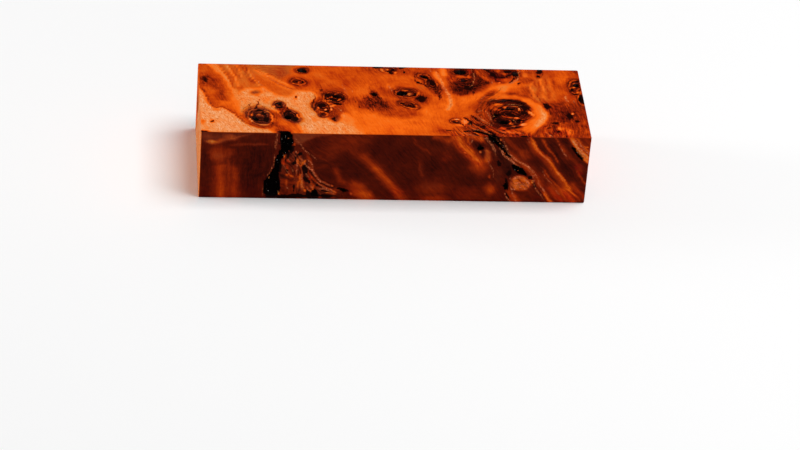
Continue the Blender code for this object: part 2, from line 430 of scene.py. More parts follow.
class Figure:
    """The sketch on one face, as numbers at its points."""

    def __init__(self, face, tone, seed, wander=0.45):
        self.points = on_face[face]
        u, v = (side[self.points] for side in FLAT[face])
        spots = np.column_stack([u, v, np.full(len(u), seed * 3.7)])
        self.u = u + wander * sway(spots, seed)
        self.v = v + wander * sway(spots, seed + 2)
        ones = np.ones(len(u))
        self.tone = ones * tone
        self.warm = ones * 0.0
        self.crust = ones * 0.0
        self.dye = ones * 0.0
        self.ring = ones * RING_REACH
        self.bends = []
        self.eddies = []
        self.pale = ones * OFF_LINES
        self.dark = ones * OFF_LINES

    def near(self, points, reach):
        """The points of the face within reach of the given ones."""
        p = np.array(points, float)
        first = p.min(0) - reach
        last = p.max(0) + reach
        return np.flatnonzero(
            (self.u > first[0]) & (self.u < last[0]) & (self.v > first[1]) & (self.v < last[1])
        )

    def paint(self, where, mask, tone, warm=None, crust=None):
        """Blend a mark into the sketch by its mask."""
        self.tone[where] += (tone - self.tone[where]) * mask
        if warm is not None:
            self.warm[where] += (warm - self.warm[where]) * mask
        if crust is not None:
            self.crust[where] += (crust - self.crust[where]) * mask

    def area(self, tone, soft, outline, warm=0.0, crust=None):
        """A patch of paler or darker wood with a closed outline."""
        near = self.near(outline, soft)
        u, v = self.u[near], self.v[near]
        closed = smooth_curve(list(outline) + [outline[0]], 4)
        distance, _ = distance_to(u, v, closed)
        distance[inside(u, v, closed)] *= -1
        self.paint(near, smooth_step(soft, -soft, distance), tone, warm, crust)

    def round_shape(self, u0, v0, across, tall, turn_by, reach):
        """Where an ellipse lies: the near points, and their radius with 1 at its rim."""
        near = self.near([(u0, v0)], max(across, tall) * reach)
        first, second = turned(self.u[near] - u0, self.v[near] - v0, turn_by)
        return near, np.hypot(first / across, second / tall)

    def spot(self, u0, v0, across, tall, turn_by, tone, soft, warm=None, crust=None):
        """A soft round smudge."""
        near, r = self.round_shape(u0, v0, across, tall, turn_by, 1 + soft)
        self.paint(near, smooth_step(1 + soft, 1 - soft, r), tone, warm, crust)

    def core(self, u0, v0, across, tall, turn_by, dye=1.0, soft=0.5):
        """A black hollow, kept as dye so that its edge can fray along the fibres."""
        near, r = self.round_shape(u0, v0, across, tall, turn_by, CORE_REACH)
        self.dye[near] = np.maximum(self.dye[near], dye * smooth_step(1 + soft, 1 - soft, r))
        rim = smooth_step(CORE_RIM_REACH, 1.0, r) * CORE_RIM_SHARE
        self.tone[near] += (np.maximum(self.tone[near], CORE_RIM_TONE) - self.tone[near]) * rim

    def eye(self, u0, v0, across, tall, turn_by, dye, soft=0.4):
        """A bud cut across: a smoky round, rings, and fibres that bend round it."""
        near, r = self.round_shape(u0, v0, across, tall, turn_by, EYE_REACH)
        full = dye * smooth_step(1 + soft, 1 - soft, r)
        halo = HALO_DYE * smooth_step(HALO_REACH, 1.0, r)
        self.dye[near] = np.maximum(self.dye[near], np.maximum(full, halo))
        in_pale = smooth_step(*IN_PALE_WOOD, self.tone[near])
        smoky = EYE_WARM - (EYE_WARM - SMOKY_BROWN) * in_pale
        self.warm[near] += (smoky - self.warm[near]) * smooth_step(EYE_REACH, 1.3, r)
        rim = smooth_step(1.9 - 0.2 * in_pale, 0.9, r)
        self.tone[near] += (np.maximum(self.tone[near], EYE_RIM_TONE) - self.tone[near]) * rim
        self.ring[near] = np.minimum(self.ring[near], (r - 1) * min(across, tall))
        self.bends.append((u0, v0, across, tall, turn_by))

    def smoke(self, dye, width, soft, points):
        """Dye drawn out along a line, strongest at its start."""
        near = self.near(points, width / 2 + soft)
        distance, along = distance_to(self.u[near], self.v[near], smooth_curve(points))
        mask = smooth_step(width / 2 + soft, width / 2 - soft, distance) * (1 - 0.4 * along)
        self.dye[near] = np.maximum(self.dye[near], dye * mask)

    def highlight_or_pale_patch(self, u0, v0, across, tall, turn_by, tone, warm):
        """A pale mark over the dye: a painted highlight where resin catches the light, or a patch of
        paler wood.
        """
        near, r = self.round_shape(u0, v0, across, tall, turn_by, HIGHLIGHT_OR_PATCH_REACH)
        mask = smooth_step(1.35, 0.65, r)
        self.paint(near, mask, tone, warm)
        self.dye[near] *= 1 - mask

    def stroke(self, tone, width, soft, points, warm=None):
        """A soft band along a line, which fades at its ends."""
        near = self.near(points, width / 2 + soft)
        distance, along = distance_to(self.u[near], self.v[near], smooth_curve(points))
        fade = smooth_step(0, 0.12, along) * smooth_step(1, 0.88, along)
        band = smooth_step(width / 2 + soft, width / 2 - soft, distance)
        mask = band * (FADED_END + (1 - FADED_END) * fade)
        self.paint(near, mask, tone, warm)

    def line(self, kind, width, points):
        """A thin crisp line, kept as the distance inside its edge."""
        near = self.near(points, LINE_REACH)
        distance, along = distance_to(self.u[near], self.v[near], smooth_curve(points))
        taper = np.sqrt(np.clip(4 * along * (1 - along) + BLUNT_END, 0, 1))
        field = getattr(self, kind)
        field[near] = np.maximum(field[near], width / 2 * taper - distance)

    def bands(self, rows):
        """One stroke for each row of tone, width, softness, warmth and points."""
        for tone, width, soft, warm, points in rows:
            self.stroke(tone, width, soft, points, warm=warm)

    def lines(self, kind, rows):
        """One line for each row of width and points."""
        for width, points in rows:
            self.line(kind, width, points)


print("Areas, spots, eyes, strokes and lines are ready")

# %% [markdown]
# ## The top
#
# The top runs from pale, pored wood at the left, through bright orange, to a big knot and deep
# reds at the right. The areas come first, then the smudges and buds, then the lines. A tone
# of 0 is the palest wood, 0.45 bright orange and 1 black. Warm turns a tone towards red
# above 0, and towards olive brown below it.

# %% Draw the areas of the top
top = Figure("top", tone=0.47, seed=2)
top.area(0.50, 2.0, [(-63, 21), (-63, 9), (-60, 3), (-57, 6), (-57, 14), (-59, 21)], warm=-0.1)
top.area(
    0.43, 0.8,
    [(-58.5, 21), (-55, 14), (-52.3, 6), (-50.4, 0), (-48.5, 3), (-45.5, 6), (-41.5, 6.6),
     (-43.5, 10.5), (-45.3, 15), (-45.8, 21)],
    warm=-0.5,
)
top.area(
    0.42, 1.5,
    [(-46, 21), (-45, 15.5), (-41, 12.5), (-38, 13.5), (-33, 14), (-31.5, 17), (-32, 21)],
    warm=-0.9,
)
top.area(
    0.46, 1.2,
    [(-45, 13), (-41, 13), (-33, 12), (-30, 6), (-33, 1), (-38, 1), (-41.5, 6)],
    warm=-0.3,
)
top.area(
    0.16, 0.3,
    [(-64, 8), (-61.5, 4), (-60, 1), (-59.3, -2.5), (-58.8, -5), (-57.5, -6.3), (-55.5, -6),
     (-54, -6.6), (-52, -9), (-50, -12), (-48.6, -14.5), (-46.5, -16), (-44, -17.5), (-41, -18),
     (-39, -17), (-37.5, -21), (-64, -21)],
    warm=0.0,
)
top.area(
    0.20, 1.1,
    [(-50.3, 2), (-47, 5.5), (-43, 5.5), (-41.5, 6.3), (-39.5, 3.5), (-37, 1.5), (-33.5, 1),
     (-32, 3.5), (-31, 4.3), (-27, 4.3), (-25, 2.5), (-24.5, 0), (-24, -6), (-20.5, -11),
     (-17.8, -4.5), (-15.5, -9), (-14.2, -13), (-12.6, -16.5), (-11, -21), (-31, -21), (-30.5, -17),
     (-33, -14.5), (-36.5, -13), (-38, -9.5), (-39.6, -8), (-39.8, -12), (-41, -16.4), (-45.4, -16),
     (-48, -12.4), (-49, -8), (-50, -3)],
    warm=0.05,
)
top.spot(-46, -1, 6, 3, 30, 0.20, 0.7, warm=-0.1)
top.area(
    0.75, 1.8,
    [(27.6, 21), (30.4, 16), (32.4, 12.5), (31.6, 9), (29, 5.4), (25.4, 3.4), (21.4, 3.4), (19.2, 7),
     (19.6, 14), (21.6, 21)],
)
top.spot(20.8, 14, 2.0, 2.6, 0, 0.56, 0.6, warm=0.5)
top.area(
    0.73, 1.0,
    [(33, 21), (32.3, 16), (34, 13), (37.5, 10.5), (40.5, 13), (43, 17), (44, 21)],
    warm=0.35,
)
top.area(
    0.42, 1.2,
    [(43, 9), (46, 12), (50.5, 17), (53, 17), (52.5, 12), (54, 5), (53, 1), (47.5, 0.5), (45, 4),
     (44, 7)],
    warm=-0.5,
)
top.area(0.47, 1.6, [(53.5, 21), (53.5, 10), (55, 3), (60, 3), (64, 8), (64, 21)], warm=-0.1)
top.area(
    0.615, 2.0,
    [(48.8, 1.5), (52, 0), (56, 1), (64, 0), (64, -13), (53, -13), (49.5, -11), (49.8, -5)],
    warm=0.15,
)
top.spot(56.4, -7.2, 3.6, 3.8, 15, 0.71, 0.7, warm=0.2)
top.spot(61, -16, 2.4, 4.5, 0, 0.58, 0.6, warm=0.2)
top.area(0.62, 1.0, [(45, -14.5), (49.5, -12.5), (55, -14), (60, -13), (60, -21), (44, -21)], warm=0.25)
top.area(0.58, 0.6, [(47, -14), (52, -12.6), (56.5, -15.5), (56, -21), (46, -21)], warm=0.3, crust=0.6)
top.area(
    0.63, 1.0,
    [(21, -14), (24, -9.5), (28, -9.5), (32, -13.6), (36, -16), (43, -17.6), (45, -21), (20, -21),
     (18, -17.6)],
    warm=0.25, crust=0.7,
)
top.area(
    0.81, 0.8,
    [(30.6, 0), (34, 1.6), (39, 1.8), (43, 0.4), (44.6, -3), (44, -7), (42, -11), (40, -15),
     (35, -16.4), (31, -14), (29.6, -9), (29.2, -4)],
    warm=0.2, crust=0.6,
)
to_the_back = smooth_step(9, 18, top.v)
to_the_right = smooth_step(10, 40, top.u)
top.tone += 0.02 * to_the_back + 0.03 * to_the_right
print("The top's areas are drawn")

# %% [markdown]
# Broad strokes follow: the bright and the pale bands that flow round the knot, the red streak
# in the tongue at the left, and the smears of dye in the middle. Each row holds a stroke's tone,
# its width, how soft its edge is, how warm it is and the points that it runs through.

# %% Draw the bands of the top
TOP_BANDS = [
    (0.24, 1.5, 0.7, -0.2, [(-58.5, 20.5), (-56, 17), (-54, 12.5), (-52, 7), (-51, 2.5), (-50.2, -2)]),
    (0.28, 1.0, 0.6, -0.2, [(-60, 20.5), (-58, 18), (-55.6, 14)]),
    (0.50, 1.4, 0.6, -0.2, [(-51.8, 14.5), (-50.8, 10.5), (-49.5, 6.5), (-48.4, 4.6)]),
    (0.46, 1.0, 0.5, -0.3, [(-49.2, 10.5), (-48.6, 7.5), (-48.2, 5)]),
    (0.43, 0.8, 0.5, -0.3, [(-47.6, 18), (-46.8, 13.5), (-45.6, 10)]),
    (0.63, 3.4, 1.8, 0.15, [(-58, 12), (-56.3, 6), (-55.6, 1), (-55.4, -2.0)]),
    (0.58, 2.2, 1.4, 0.0, [(-59.6, 0), (-58.6, -3.4), (-56.6, -5.2)]),
    (0.34, 2.0, 0.7, -0.1, [(-51, -1), (-50.2, -5), (-49.4, -9), (-48.4, -12.5), (-46.8, -15.5)]),
    (0.44, 2.6, 0.6, 0.15, [(-39.5, -8.5), (-38, -13), (-35.5, -16), (-32.5, -18.2), (-29.5, -20.5)]),
    (0.60, 0.8, 0.4, 0.3, [(-40, -12), (-38.6, -15.5), (-36.4, -18)]),
    (0.37, 1.6, 1.0, 0.0, [(-44.6, 18), (-42, 14.5), (-39.6, 11.8), (-37, 8.8), (-34, 6.2), (-32.3, 5)]),
    (0.55, 3.0, 1.6, 0.2, [(-23, 12), (-23.5, 8.5), (-23, 5)]),
    (0.55, 2.4, 1.6, 0.2, [(-16.4, 13), (-15.6, 10.5), (-15.2, 8)]),
    (0.49, 3.0, 2.0, -0.1, [(-29, 19), (-25, 14), (-19, 12.5), (-12, 12), (-10, 8)]),
    (0.52, 5.0, 3.0, 0.1, [(-20, 17), (-16, 14), (-12, 14), (-9, 17)]),
    (0.56, 5.0, 2.4, 0.1, [(-9, 18), (2, 17.6), (10, 17.8), (22, 18)]),
    (0.40, 2.5, 1.5, 0.0, [(-13.5, -6), (-12, -10), (-9, -13.5), (-4, -16)]),
    (0.40, 2.0, 1.2, 0.0, [(8, -4.4), (11, -5), (15, -3), (16.4, -0.4)]),
    (0.74, 1.4, 1.0, 0.1, [(-6.6, 6.4), (-6.0, 3), (-5.2, 0), (-3.6, -3), (-1.4, -6.4)]),
    (0.68, 1.2, 0.8, 0.2, [(-8.6, 2.4), (-7.6, -0.6), (-5.8, -3.6), (-3.4, -6)]),
    (0.66, 1.0, 0.8, 0.1, [(-12.6, 1.6), (-11.6, -2), (-10.2, -5)]),
    (0.56, 1.8, 1.0, 0.1, [(-2.8, 8), (-2.6, 3), (-1.8, -2)]),
    (0.55, 1.8, 1.0, 0.1, [(1.0, -1), (1.0, -5), (1.6, -9), (2.2, -12)]),
    (0.41, 5.0, 1.8, 0.0, [(20.5, -3), (26, 1.5), (30, 5), (34, 7.5), (38, 9), (41, 12), (43.5, 17)]),
    (0.42, 2.6, 1.0, -0.1, [(33, 3.6), (37, 3.6), (40.5, 3.2)]),
    (0.37, 3.6, 0.9, -0.05, [(40.5, 3.4), (44.5, 1.0), (46.6, -3), (47.2, -7), (46.0, -11),
     (43.6, -14.5), (41, -18)]),
    (0.17, 1.8, 1.0, 0.0, [(48.5, -4.5), (48.3, -8), (46.9, -11.5), (44.6, -14.6)]),
    (0.25, 0.8, 0.5, -0.1, [(47.2, -1), (48.2, -4), (48.4, -6.5)]),
    (0.58, 2.2, 1.2, 0.2, [(12.4, -17.4), (16, -18), (20, -19)]),
    (0.71, 1.6, 1.0, 0.15, [(34.6, 7), (31, 3.8), (28.8, 0.2), (27.6, -4), (27.8, -8)]),
    (0.46, 1.4, 0.6, 0.1, [(28.5, 19), (30.4, 15), (32.4, 12.4)]),
    (0.34, 1.4, 0.8, 0.0, [(14.4, 18), (15.6, 14), (16.2, 10)]),
    (0.24, 1.5, 0.8, 0.0, [(18.8, 2.5), (18.6, -1), (17.8, -3.6), (16.8, -6)]),
    (0.29, 0.8, 0.5, 0.0, [(12.2, 20), (14.6, 17), (16.2, 12.6), (17, 8), (18.2, 4)]),
    (0.31, 1.8, 0.8, -0.1, [(17.4, 19.5), (17.8, 17), (18, 14.6)]),
    (0.40, 1.0, 0.6, 0.0, [(-1.4, 9.6), (-0.4, 7), (0.2, 4.4)]),
    (0.62, 2.4, 1.4, 0.2, [(60.8, -15), (60.6, -8), (61.2, -1)]),
    (0.30, 0.4, 0.4, 0.1, [(46.2, 11.4), (45.6, 8.6), (46.4, 5.8), (46.2, 3.2)]),
    (0.62, 1.4, 1.0, 0.0, [(36.6, 4.6), (41, 4.6), (45, 2.6), (47.4, -0.6)]),
    (0.56, 0.6, 0.4, -0.2, [(47.6, 14), (47.2, 10.6), (48.0, 7.4), (47.6, 3.8), (48.2, 1.4)]),
    (0.28, 0.4, 0.4, 0.0, [(49.4, 15.4), (49.2, 12), (49.8, 8.6), (49.4, 5), (50, 2)]),
    (0.56, 0.6, 0.4, -0.1, [(50.6, 16), (51.0, 12.4), (50.8, 8.6), (51.4, 4.8), (51.0, 1.6)]),
    (0.38, 0.5, 0.5, -0.2, [(52.2, 14), (52.4, 10), (52.6, 6.4), (52.4, 3)]),
    (0.62, 0.5, 0.4, -0.3, [(45.2, 10), (44.9, 6.6), (45.6, 3.4)]),
    (0.60, 0.5, 0.4, 0.0, [(53.2, 17), (53.6, 12), (53.2, 7)]),
    (0.62, 0.5, 0.4, 0.0, [(48.8, 13), (48.6, 9.4), (49.0, 5.4)]),
    (0.66, 0.6, 0.5, 0.2, [(41, 13.4), (44, 13.8), (47, 12.8)]),
    (0.60, 1.4, 1.2, 0.1, [(54.6, 10), (57.4, 7.6), (60, 6.4)]),
    (0.60, 0.9, 0.8, 0.2, [(45.4, 17.6), (47.6, 19), (50.6, 18.4)]),
    (0.20, 0.5, 0.4, -0.2, [(-53.6, 19.8), (-51.8, 15.2), (-50.4, 10.4), (-49.6, 6.4)]),
    (0.18, 0.4, 0.3, -0.1, [(-57.4, 20.4), (-54.8, 16.2), (-52.9, 11.4), (-51.4, 6)]),
    (0.60, 0.4, 0.4, -0.4, [(-56.6, 19.8), (-54.6, 15.4), (-52.6, 10.4), (-51.2, 5.4)]),
    (0.22, 0.5, 0.4, -0.4, [(-46.6, 17.4), (-45.8, 13.2), (-44.2, 9.4), (-42.6, 6.8)]),
    (0.62, 0.4, 0.4, -0.4, [(-47.2, 19.4), (-46.4, 14.4), (-45.2, 10.6), (-43.4, 7.4)]),
    (0.58, 0.4, 0.4, -0.5, [(-50.4, 18.8), (-49.4, 14.2), (-48.6, 10.4)]),
    (0.26, 0.5, 0.4, -0.2, [(-41.6, 15.2), (-38.4, 12), (-35.4, 9.2), (-32.4, 7)]),
    (0.60, 0.5, 0.5, -0.2, [(-40.4, 12.2), (-37.2, 9), (-34, 6.4), (-31.6, 5.2)]),
    (0.55, 0.6, 0.5, -0.3, [(-55.6, 19.6), (-53.4, 14.4), (-51.8, 9), (-50.8, 4.6)]),
    (0.53, 0.5, 0.4, -0.2, [(-52.6, 20.2), (-51.4, 16.6), (-50, 12.4)]),
    (0.30, 0.5, 0.4, -0.2, [(-50.2, 19.6), (-49.2, 15.8), (-48.4, 12)]),
    (0.56, 0.6, 0.4, -0.3, [(-48.8, 20), (-47.6, 15.6), (-46.6, 11.8), (-45, 8.4)]),
]
top.bands(TOP_BANDS)
print(f"The top has {len(TOP_BANDS)} bands")

# %% [markdown]
# Smudges are where the dye or the growth is uneven. Each row holds a smudge's middle, its two
# radii, its turn, its tone, how soft its rim is and how warm it is.

# %% Draw the smudges of the top
TOP_SPOTS = [
    (-44.4, 3.3, 1.9, 1.4, 20, 0.60, 0.8, -0.6), (-44.0, 1.7, 0.7, 0.9, 0, 0.44, 0.6, -0.1),
    (-30.0, 6.6, 1.4, 1.6, 0, 0.54, 0.6, 0.0), (-1, -14.5, 12, 4.2, 6, 0.36, 0.6, 0.0),
    (-8, -9.8, 3.5, 2.2, -30, 0.38, 0.6, 0.0), (12, -6.5, 5, 2.6, -20, 0.41, 0.6, 0.0),
    (-4.4, -2.8, 2.6, 2.8, 30, 0.73, 0.8, 0.1), (-2.2, -5.4, 2.6, 3.0, 20, 0.66, 0.7, 0.1),
    (-9.0, -2.4, 2.6, 2.2, 0, 0.62, 0.7, 0.1), (3.2, -7.4, 4.2, 3.0, 0, 0.55, 0.6, 0.1),
    (-1.5, -7.6, 3.4, 2.2, 10, 0.57, 0.6, 0.1), (37.3, 13.6, 2.2, 1.3, -10, 0.49, 0.4, 0.35),
    (35.4, 19, 1.7, 1.2, 20, 0.47, 0.5, 0.0), (37.2, 17.4, 1.5, 1.0, -20, 0.55, 0.5, 0.2),
    (36.4, 8.2, 1.7, 2.0, 0, 0.31, 0.7, -0.3), (57.0, 15.5, 3.2, 3.4, 10, 0.45, 0.8, 0.0),
    (62.2, 19.5, 2.0, 1.6, 0, 0.72, 0.6, 0.1), (21.6, -12.4, 2.4, 2.4, 0, 0.2, 0.4, 0.1),
    (44.6, 17.6, 1.1, 2.0, 0, 0.32, 0.6, -0.4), (44.8, 13.2, 1.7, 1.5, 0, 0.64, 0.7, 0.0),
    (43.6, 7.0, 1.4, 2.0, 0, 0.60, 0.7, 0.1), (34.0, -1.9, 2.2, 1.2, -15, 0.45, 0.5, -0.1),
    (32.0, -3.6, 1.0, 1.4, 10, 0.52, 0.5, 0.0), (52.8, -15.2, 1.6, 1.0, -10, 0.42, 0.5, 0.0),
    (55.8, -16.8, 1.0, 2.2, 15, 0.44, 0.5, 0.3), (-19.5, -9.4, 1.9, 3.6, 8, 0.68, 0.7, -0.9),
    (-17.4, -5.6, 1.6, 2.6, 20, 0.60, 0.8, -0.3), (4.0, 6.9, 2.2, 0.8, -8, 0.60, 0.6, -0.4),
    (9.2, 13.3, 1.2, 1.3, 0, 0.50, 0.5, -0.3), (5.0, 3.6, 6.4, 4.6, -14, 0.55, 0.4, 0.0),
    (-15.4, -0.6, 2.2, 3.4, 30, 0.56, 0.7, 0.0), (-4, 18.2, 4.0, 2.0, 0, 0.59, 0.8, 0.1),
    (13.8, 18.4, 1.6, 1.6, 0, 0.54, 0.8, 0.0), (30.6, 18.2, 1.2, 2.4, 0, 0.62, 0.8, 0.1),
    (46.4, 18.2, 2.0, 1.8, 0, 0.57, 0.8, -0.1), (-35.4, 14.0, 3.2, 2.8, 0, 0.50, 0.8, -0.7),
    (-37.6, -18.2, 2.6, 1.8, 10, 0.60, 0.8, 0.2), (26.4, -3.0, 2.0, 2.6, -20, 0.53, 0.8, 0.0),
    (-57.2, -7.4, 1.6, 0.8, 0, 0.34, 0.6, -0.2), (-62, -20, 1.8, 1.0, 0, 0.50, 0.6, 0.1),
    (-61.8, -14.8, 0.9, 1.6, 0, 0.46, 0.6, 0.0), (-26.2, -12.6, 1.0, 1.2, 0, 0.30, 0.7, 0.1),
    (-34.8, -18.2, 1.4, 1.0, -30, 0.50, 0.6, 0.3), (60.6, -2.6, 2.0, 2.6, 0, 0.70, 0.8, 0.1),
    (-20.2, 7.8, 2.6, 2.2, 0, 0.54, 0.8, 0.0), (-40.6, -1.8, 1.8, 2.2, 0, 0.28, 0.8, 0.0),
    (-54.4, -3.6, 2.0, 1.4, -20, 0.40, 0.8, -0.1), (-48.4, -7.4, 1.2, 3.0, 10, 0.16, 0.7, 0.0),
    (-60.8, -17.6, 2.4, 2.2, 0, 0.24, 0.8, 0.1), (-14.8, -12.2, 1.6, 2.8, 15, 0.32, 0.8, 0.1),
    (-19.4, -7.0, 1.8, 2.2, 10, 0.60, 0.8, -0.9), (60.6, 17.8, 2.0, 1.6, 0, 0.58, 0.8, 0.2),
    (5.8, -12.6, 2.6, 1.8, 0, 0.43, 0.8, 0.0), (20.4, -17.8, 2.4, 1.4, 0, 0.62, 0.8, 0.1),
    (9.8, 7.4, 1.8, 1.6, 0, 0.52, 0.8, -0.5),
]
for u, v, across, tall, turn_by, tone, soft, warm in TOP_SPOTS:
    top.spot(u, v, across, tall, turn_by, tone, soft, warm=warm)
print(f"The top has {len(TOP_SPOTS)} smudges")

# %% [markdown]
# The buds are the eyes of the burl. Each is an ellipse: its middle, its two radii, its turn and
# how much dye it took. Stains and the black cores of the buds come after them.

# %% Draw the buds of the top
TOP_BUDS = [
    (-28.7, 16.5, 1.9, 1.4, 8, 0.8), (-30.3, 9.9, 2.5, 2.0, -25, 0.50),
    (-43.3, -11.3, 3.9, 5.0, 28, 0.56), (-33.6, -10.2, 2.4, 3.9, 32, 0.74),
    (-37.1, -4.2, 1.7, 2.2, 5, 0.60), (-23.0, -4.6, 3.0, 3.6, 15, 0.60),
    (-19.0, 1.0, 3.6, 3.7, -38, 0.68), (-23.2, -9.2, 1.7, 1.4, 0, 0.52), (4.6, 4.0, 3.8, 2.5, -12, 0.62),
    (11.2, 14.0, 2.6, 1.5, -42, 0.55), (13.4, 9.8, 1.8, 3.4, 20, 0.72), (19.5, -11.7, 1.7, 1.4, 0, 0.5),
    (23.2, 17.3, 2.4, 2.1, 0, 0.8), (24.2, 12.3, 1.8, 1.1, -15, 0.6), (60.8, 9.8, 2.4, 4.2, 0, 0.60),
    (38.6, -3.8, 3.2, 1.9, -8, 0.52), (37.4, -7.2, 4.0, 2.2, -6, 0.62),
    (34.8, -11.5, 2.6, 1.9, -10, 0.66), (4.8, -2.6, 3.2, 1.7, -26, 0.62), (61.8, 2.4, 1.4, 3.2, 0, 0.7),
    (-0.6, 18.4, 2.6, 1.8, 0, 0.5),
]
top.spot(28.6, -6.4, 2.2, 5.6, -12, 0.62, 0.8, warm=0.1)
top.spot(25.6, -12.0, 4.2, 2.8, 35, 0.64, 0.7, warm=0.2, crust=0.4)
BIG_KNOT = (37.2, -6.6, 9.2, 8.4, -15)
top.bends.append(BIG_KNOT)
for u, v, across, tall, turn_by, dye in TOP_BUDS:
    top.eye(u, v, across, tall, turn_by, dye)

TOP_STAINS = [
    (-60.8, 10.4, 1.5, 2.6, 5, 0.66, 0.9), (9.3, 1.0, 1.9, 2.2, 0, 0.90, 0.7),
    (25.4, 9.2, 3.4, 2.4, 8, 0.72, 0.95), (25.0, 8.2, 2.4, 1.5, 8, 0.95, 0.6),
    (22.4, 7.4, 2.0, 1.6, 30, 0.60, 0.9), (29.0, 11.6, 1.6, 3.4, 8, 0.60, 0.9),
    (41.2, 16.8, 1.8, 2.2, 10, 0.72, 0.8), (34.2, 16.6, 1.6, 3.0, 20, 0.62, 0.8),
    (56.6, -8, 2.0, 2.6, 15, 0.60, 0.9), (14.6, 7.4, 1.8, 2.6, 20, 0.66, 0.8),
    (33.0, -9.4, 2.2, 2.4, 20, 0.80, 0.7), (38.6, -7.6, 3.6, 1.8, -12, 0.74, 0.8),
    (40.4, -1.6, 2.8, 1.4, -20, 0.66, 0.8), (27.8, -13.8, 2.4, 1.2, -45, 0.50, 0.9),
    (33.0, -17.6, 2.0, 0.8, -30, 0.56, 0.8), (24.0, -16.8, 3.0, 0.9, -10, 0.52, 0.9),
]
for u, v, across, tall, turn_by, dye, soft in TOP_STAINS:
    top.core(u, v, across, tall, turn_by, dye, soft)

TOP_CORES = [
    (-28.7, 16.5, 1.4, 1.0, 8), (-44.9, -12.3, 0.8, 1.5, 25), (-41.5, -13.2, 0.8, 1.6, 18),
    (-42.2, -9.2, 0.4, 1.2, 25), (-43.6, -7.6, 1.2, 0.8, 20), (-34.6, -11.0, 1.5, 1.3, -20),
    (-32.2, -11.8, 1.1, 1.6, 10), (-33.9, -7.6, 0.9, 0.8, 0), (-37.4, -3.4, 0.8, 0.8, 0),
    (-37.0, -5.5, 1.0, 0.6, 0), (-23.4, -4.1, 1.2, 1.3, 0), (-22.0, -7.0, 1.0, 0.9, 0),
    (-21.1, 2.2, 1.2, 1.6, 30), (-19.4, -0.9, 2.3, 0.8, -30), (-16.6, 0.3, 0.8, 1.5, -15),
    (-18.0, -3.0, 1.6, 0.6, -20), (-19.6, -11.6, 0.7, 1.2, 10), (-31.3, 9.7, 0.9, 0.7, 0),
    (-28.9, 9.6, 0.5, 0.9, 10), (-23.3, -9.0, 0.5, 0.4, 0), (-5.8, 3.3, 0.9, 1.2, 25),
    (3.1, 4.2, 1.9, 1.7, -10), (7.2, 3.3, 0.6, 1.2, 0), (9.2, 1.2, 1.4, 1.5, 0),
    (5.4, -3.2, 1.2, 0.6, -30), (2.6, -1.8, 0.6, 0.7, 0), (11.4, 14.0, 1.8, 0.8, -42),
    (9.6, 10.6, 1.4, 0.4, -40), (13.6, 10.4, 1.2, 2.2, 12), (19.4, -12.4, 1.1, 0.5, 0),
    (23.2, 17.3, 1.9, 1.5, 0), (24.0, 12.0, 1.2, 0.7, -15), (41.2, 17.0, 1.3, 1.6, 10),
    (38.8, 18.2, 1.4, 0.8, 0), (33.8, 16.0, 0.8, 1.4, 0), (49.3, 18.6, 0.9, 1.4, -10),
    (48.8, 15.8, 0.6, 0.8, 0), (42.0, 11.2, 0.35, 0.8, -15), (-3.6, 19.3, 1.6, 0.7, 0),
    (0.2, 16.4, 0.9, 0.8, 0), (1.2, 18.2, 0.9, 0.7, 20), (4.6, 16.8, 0.5, 0.8, 0),
    (4.4, 19.6, 1.5, 0.5, 20), (24.0, -12.6, 0.9, 0.9, 0), (-36.4, -19.6, 1.6, 0.9, 0),
    (51.5, -11.8, 1.7, 0.6, 0), (49.8, -1.8, 1.0, 1.8, 10), (37.4, -3.9, 1.6, 0.8, -8),
    (37.8, -7.6, 2.6, 1.0, -12), (32.8, -8.2, 1.9, 1.5, 20), (34.7, -11.7, 2.3, 1.6, -10),
    (40.1, -10.8, 0.8, 1.3, 30), (41.6, -6.2, 1.0, 1.3, 0), (37.8, -14.6, 1.5, 0.8, -10),
    (42.2, -3.2, 1.2, 2.0, 10), (61.9, 2.4, 1.0, 2.5, 0), (60.6, 10.6, 1.1, 0.8, 0),
    (61.6, 13.2, 0.8, 0.5, 0), (58.9, 7.6, 0.6, 1.0, 0), (60.0, 5.2, 1.0, 0.5, 0),
    (56.8, -7.8, 1.0, 1.6, 0), (59, -10.6, 0.8, 0.6, 0), (22.6, -17.6, 1.5, 0.35, -8),
    (16.6, -17.0, 1.6, 0.25, -6), (30.2, -18.0, 1.8, 0.7, -40), (28.0, -14.8, 0.5, 1.0, 30),
    (26.0, -17.0, 1.0, 0.6, 0), (52.3, -16.8, 0.6, 0.6, 0), (49.0, -14.4, 1.0, 0.35, 10),
    (40.5, -19.8, 1.2, 0.4, 0), (-58.9, -14.1, 0.35, 0.6, 10), (-61.6, -20.2, 1.2, 0.5, 0),
    (-31.5, 0.8, 0.3, 0.9, -15),
]
for u, v, across, tall, turn_by in TOP_CORES:
    top.core(u, v, across, tall, turn_by)

print(f"The top has {len(TOP_BUDS)} buds, {len(TOP_STAINS)} stains and {len(TOP_CORES)} dark cores")

# %% [markdown]
# Fibres beside a bud draw its dye out in wisps. Each row holds how much dye a wisp has, its
# width and the points that it runs through.

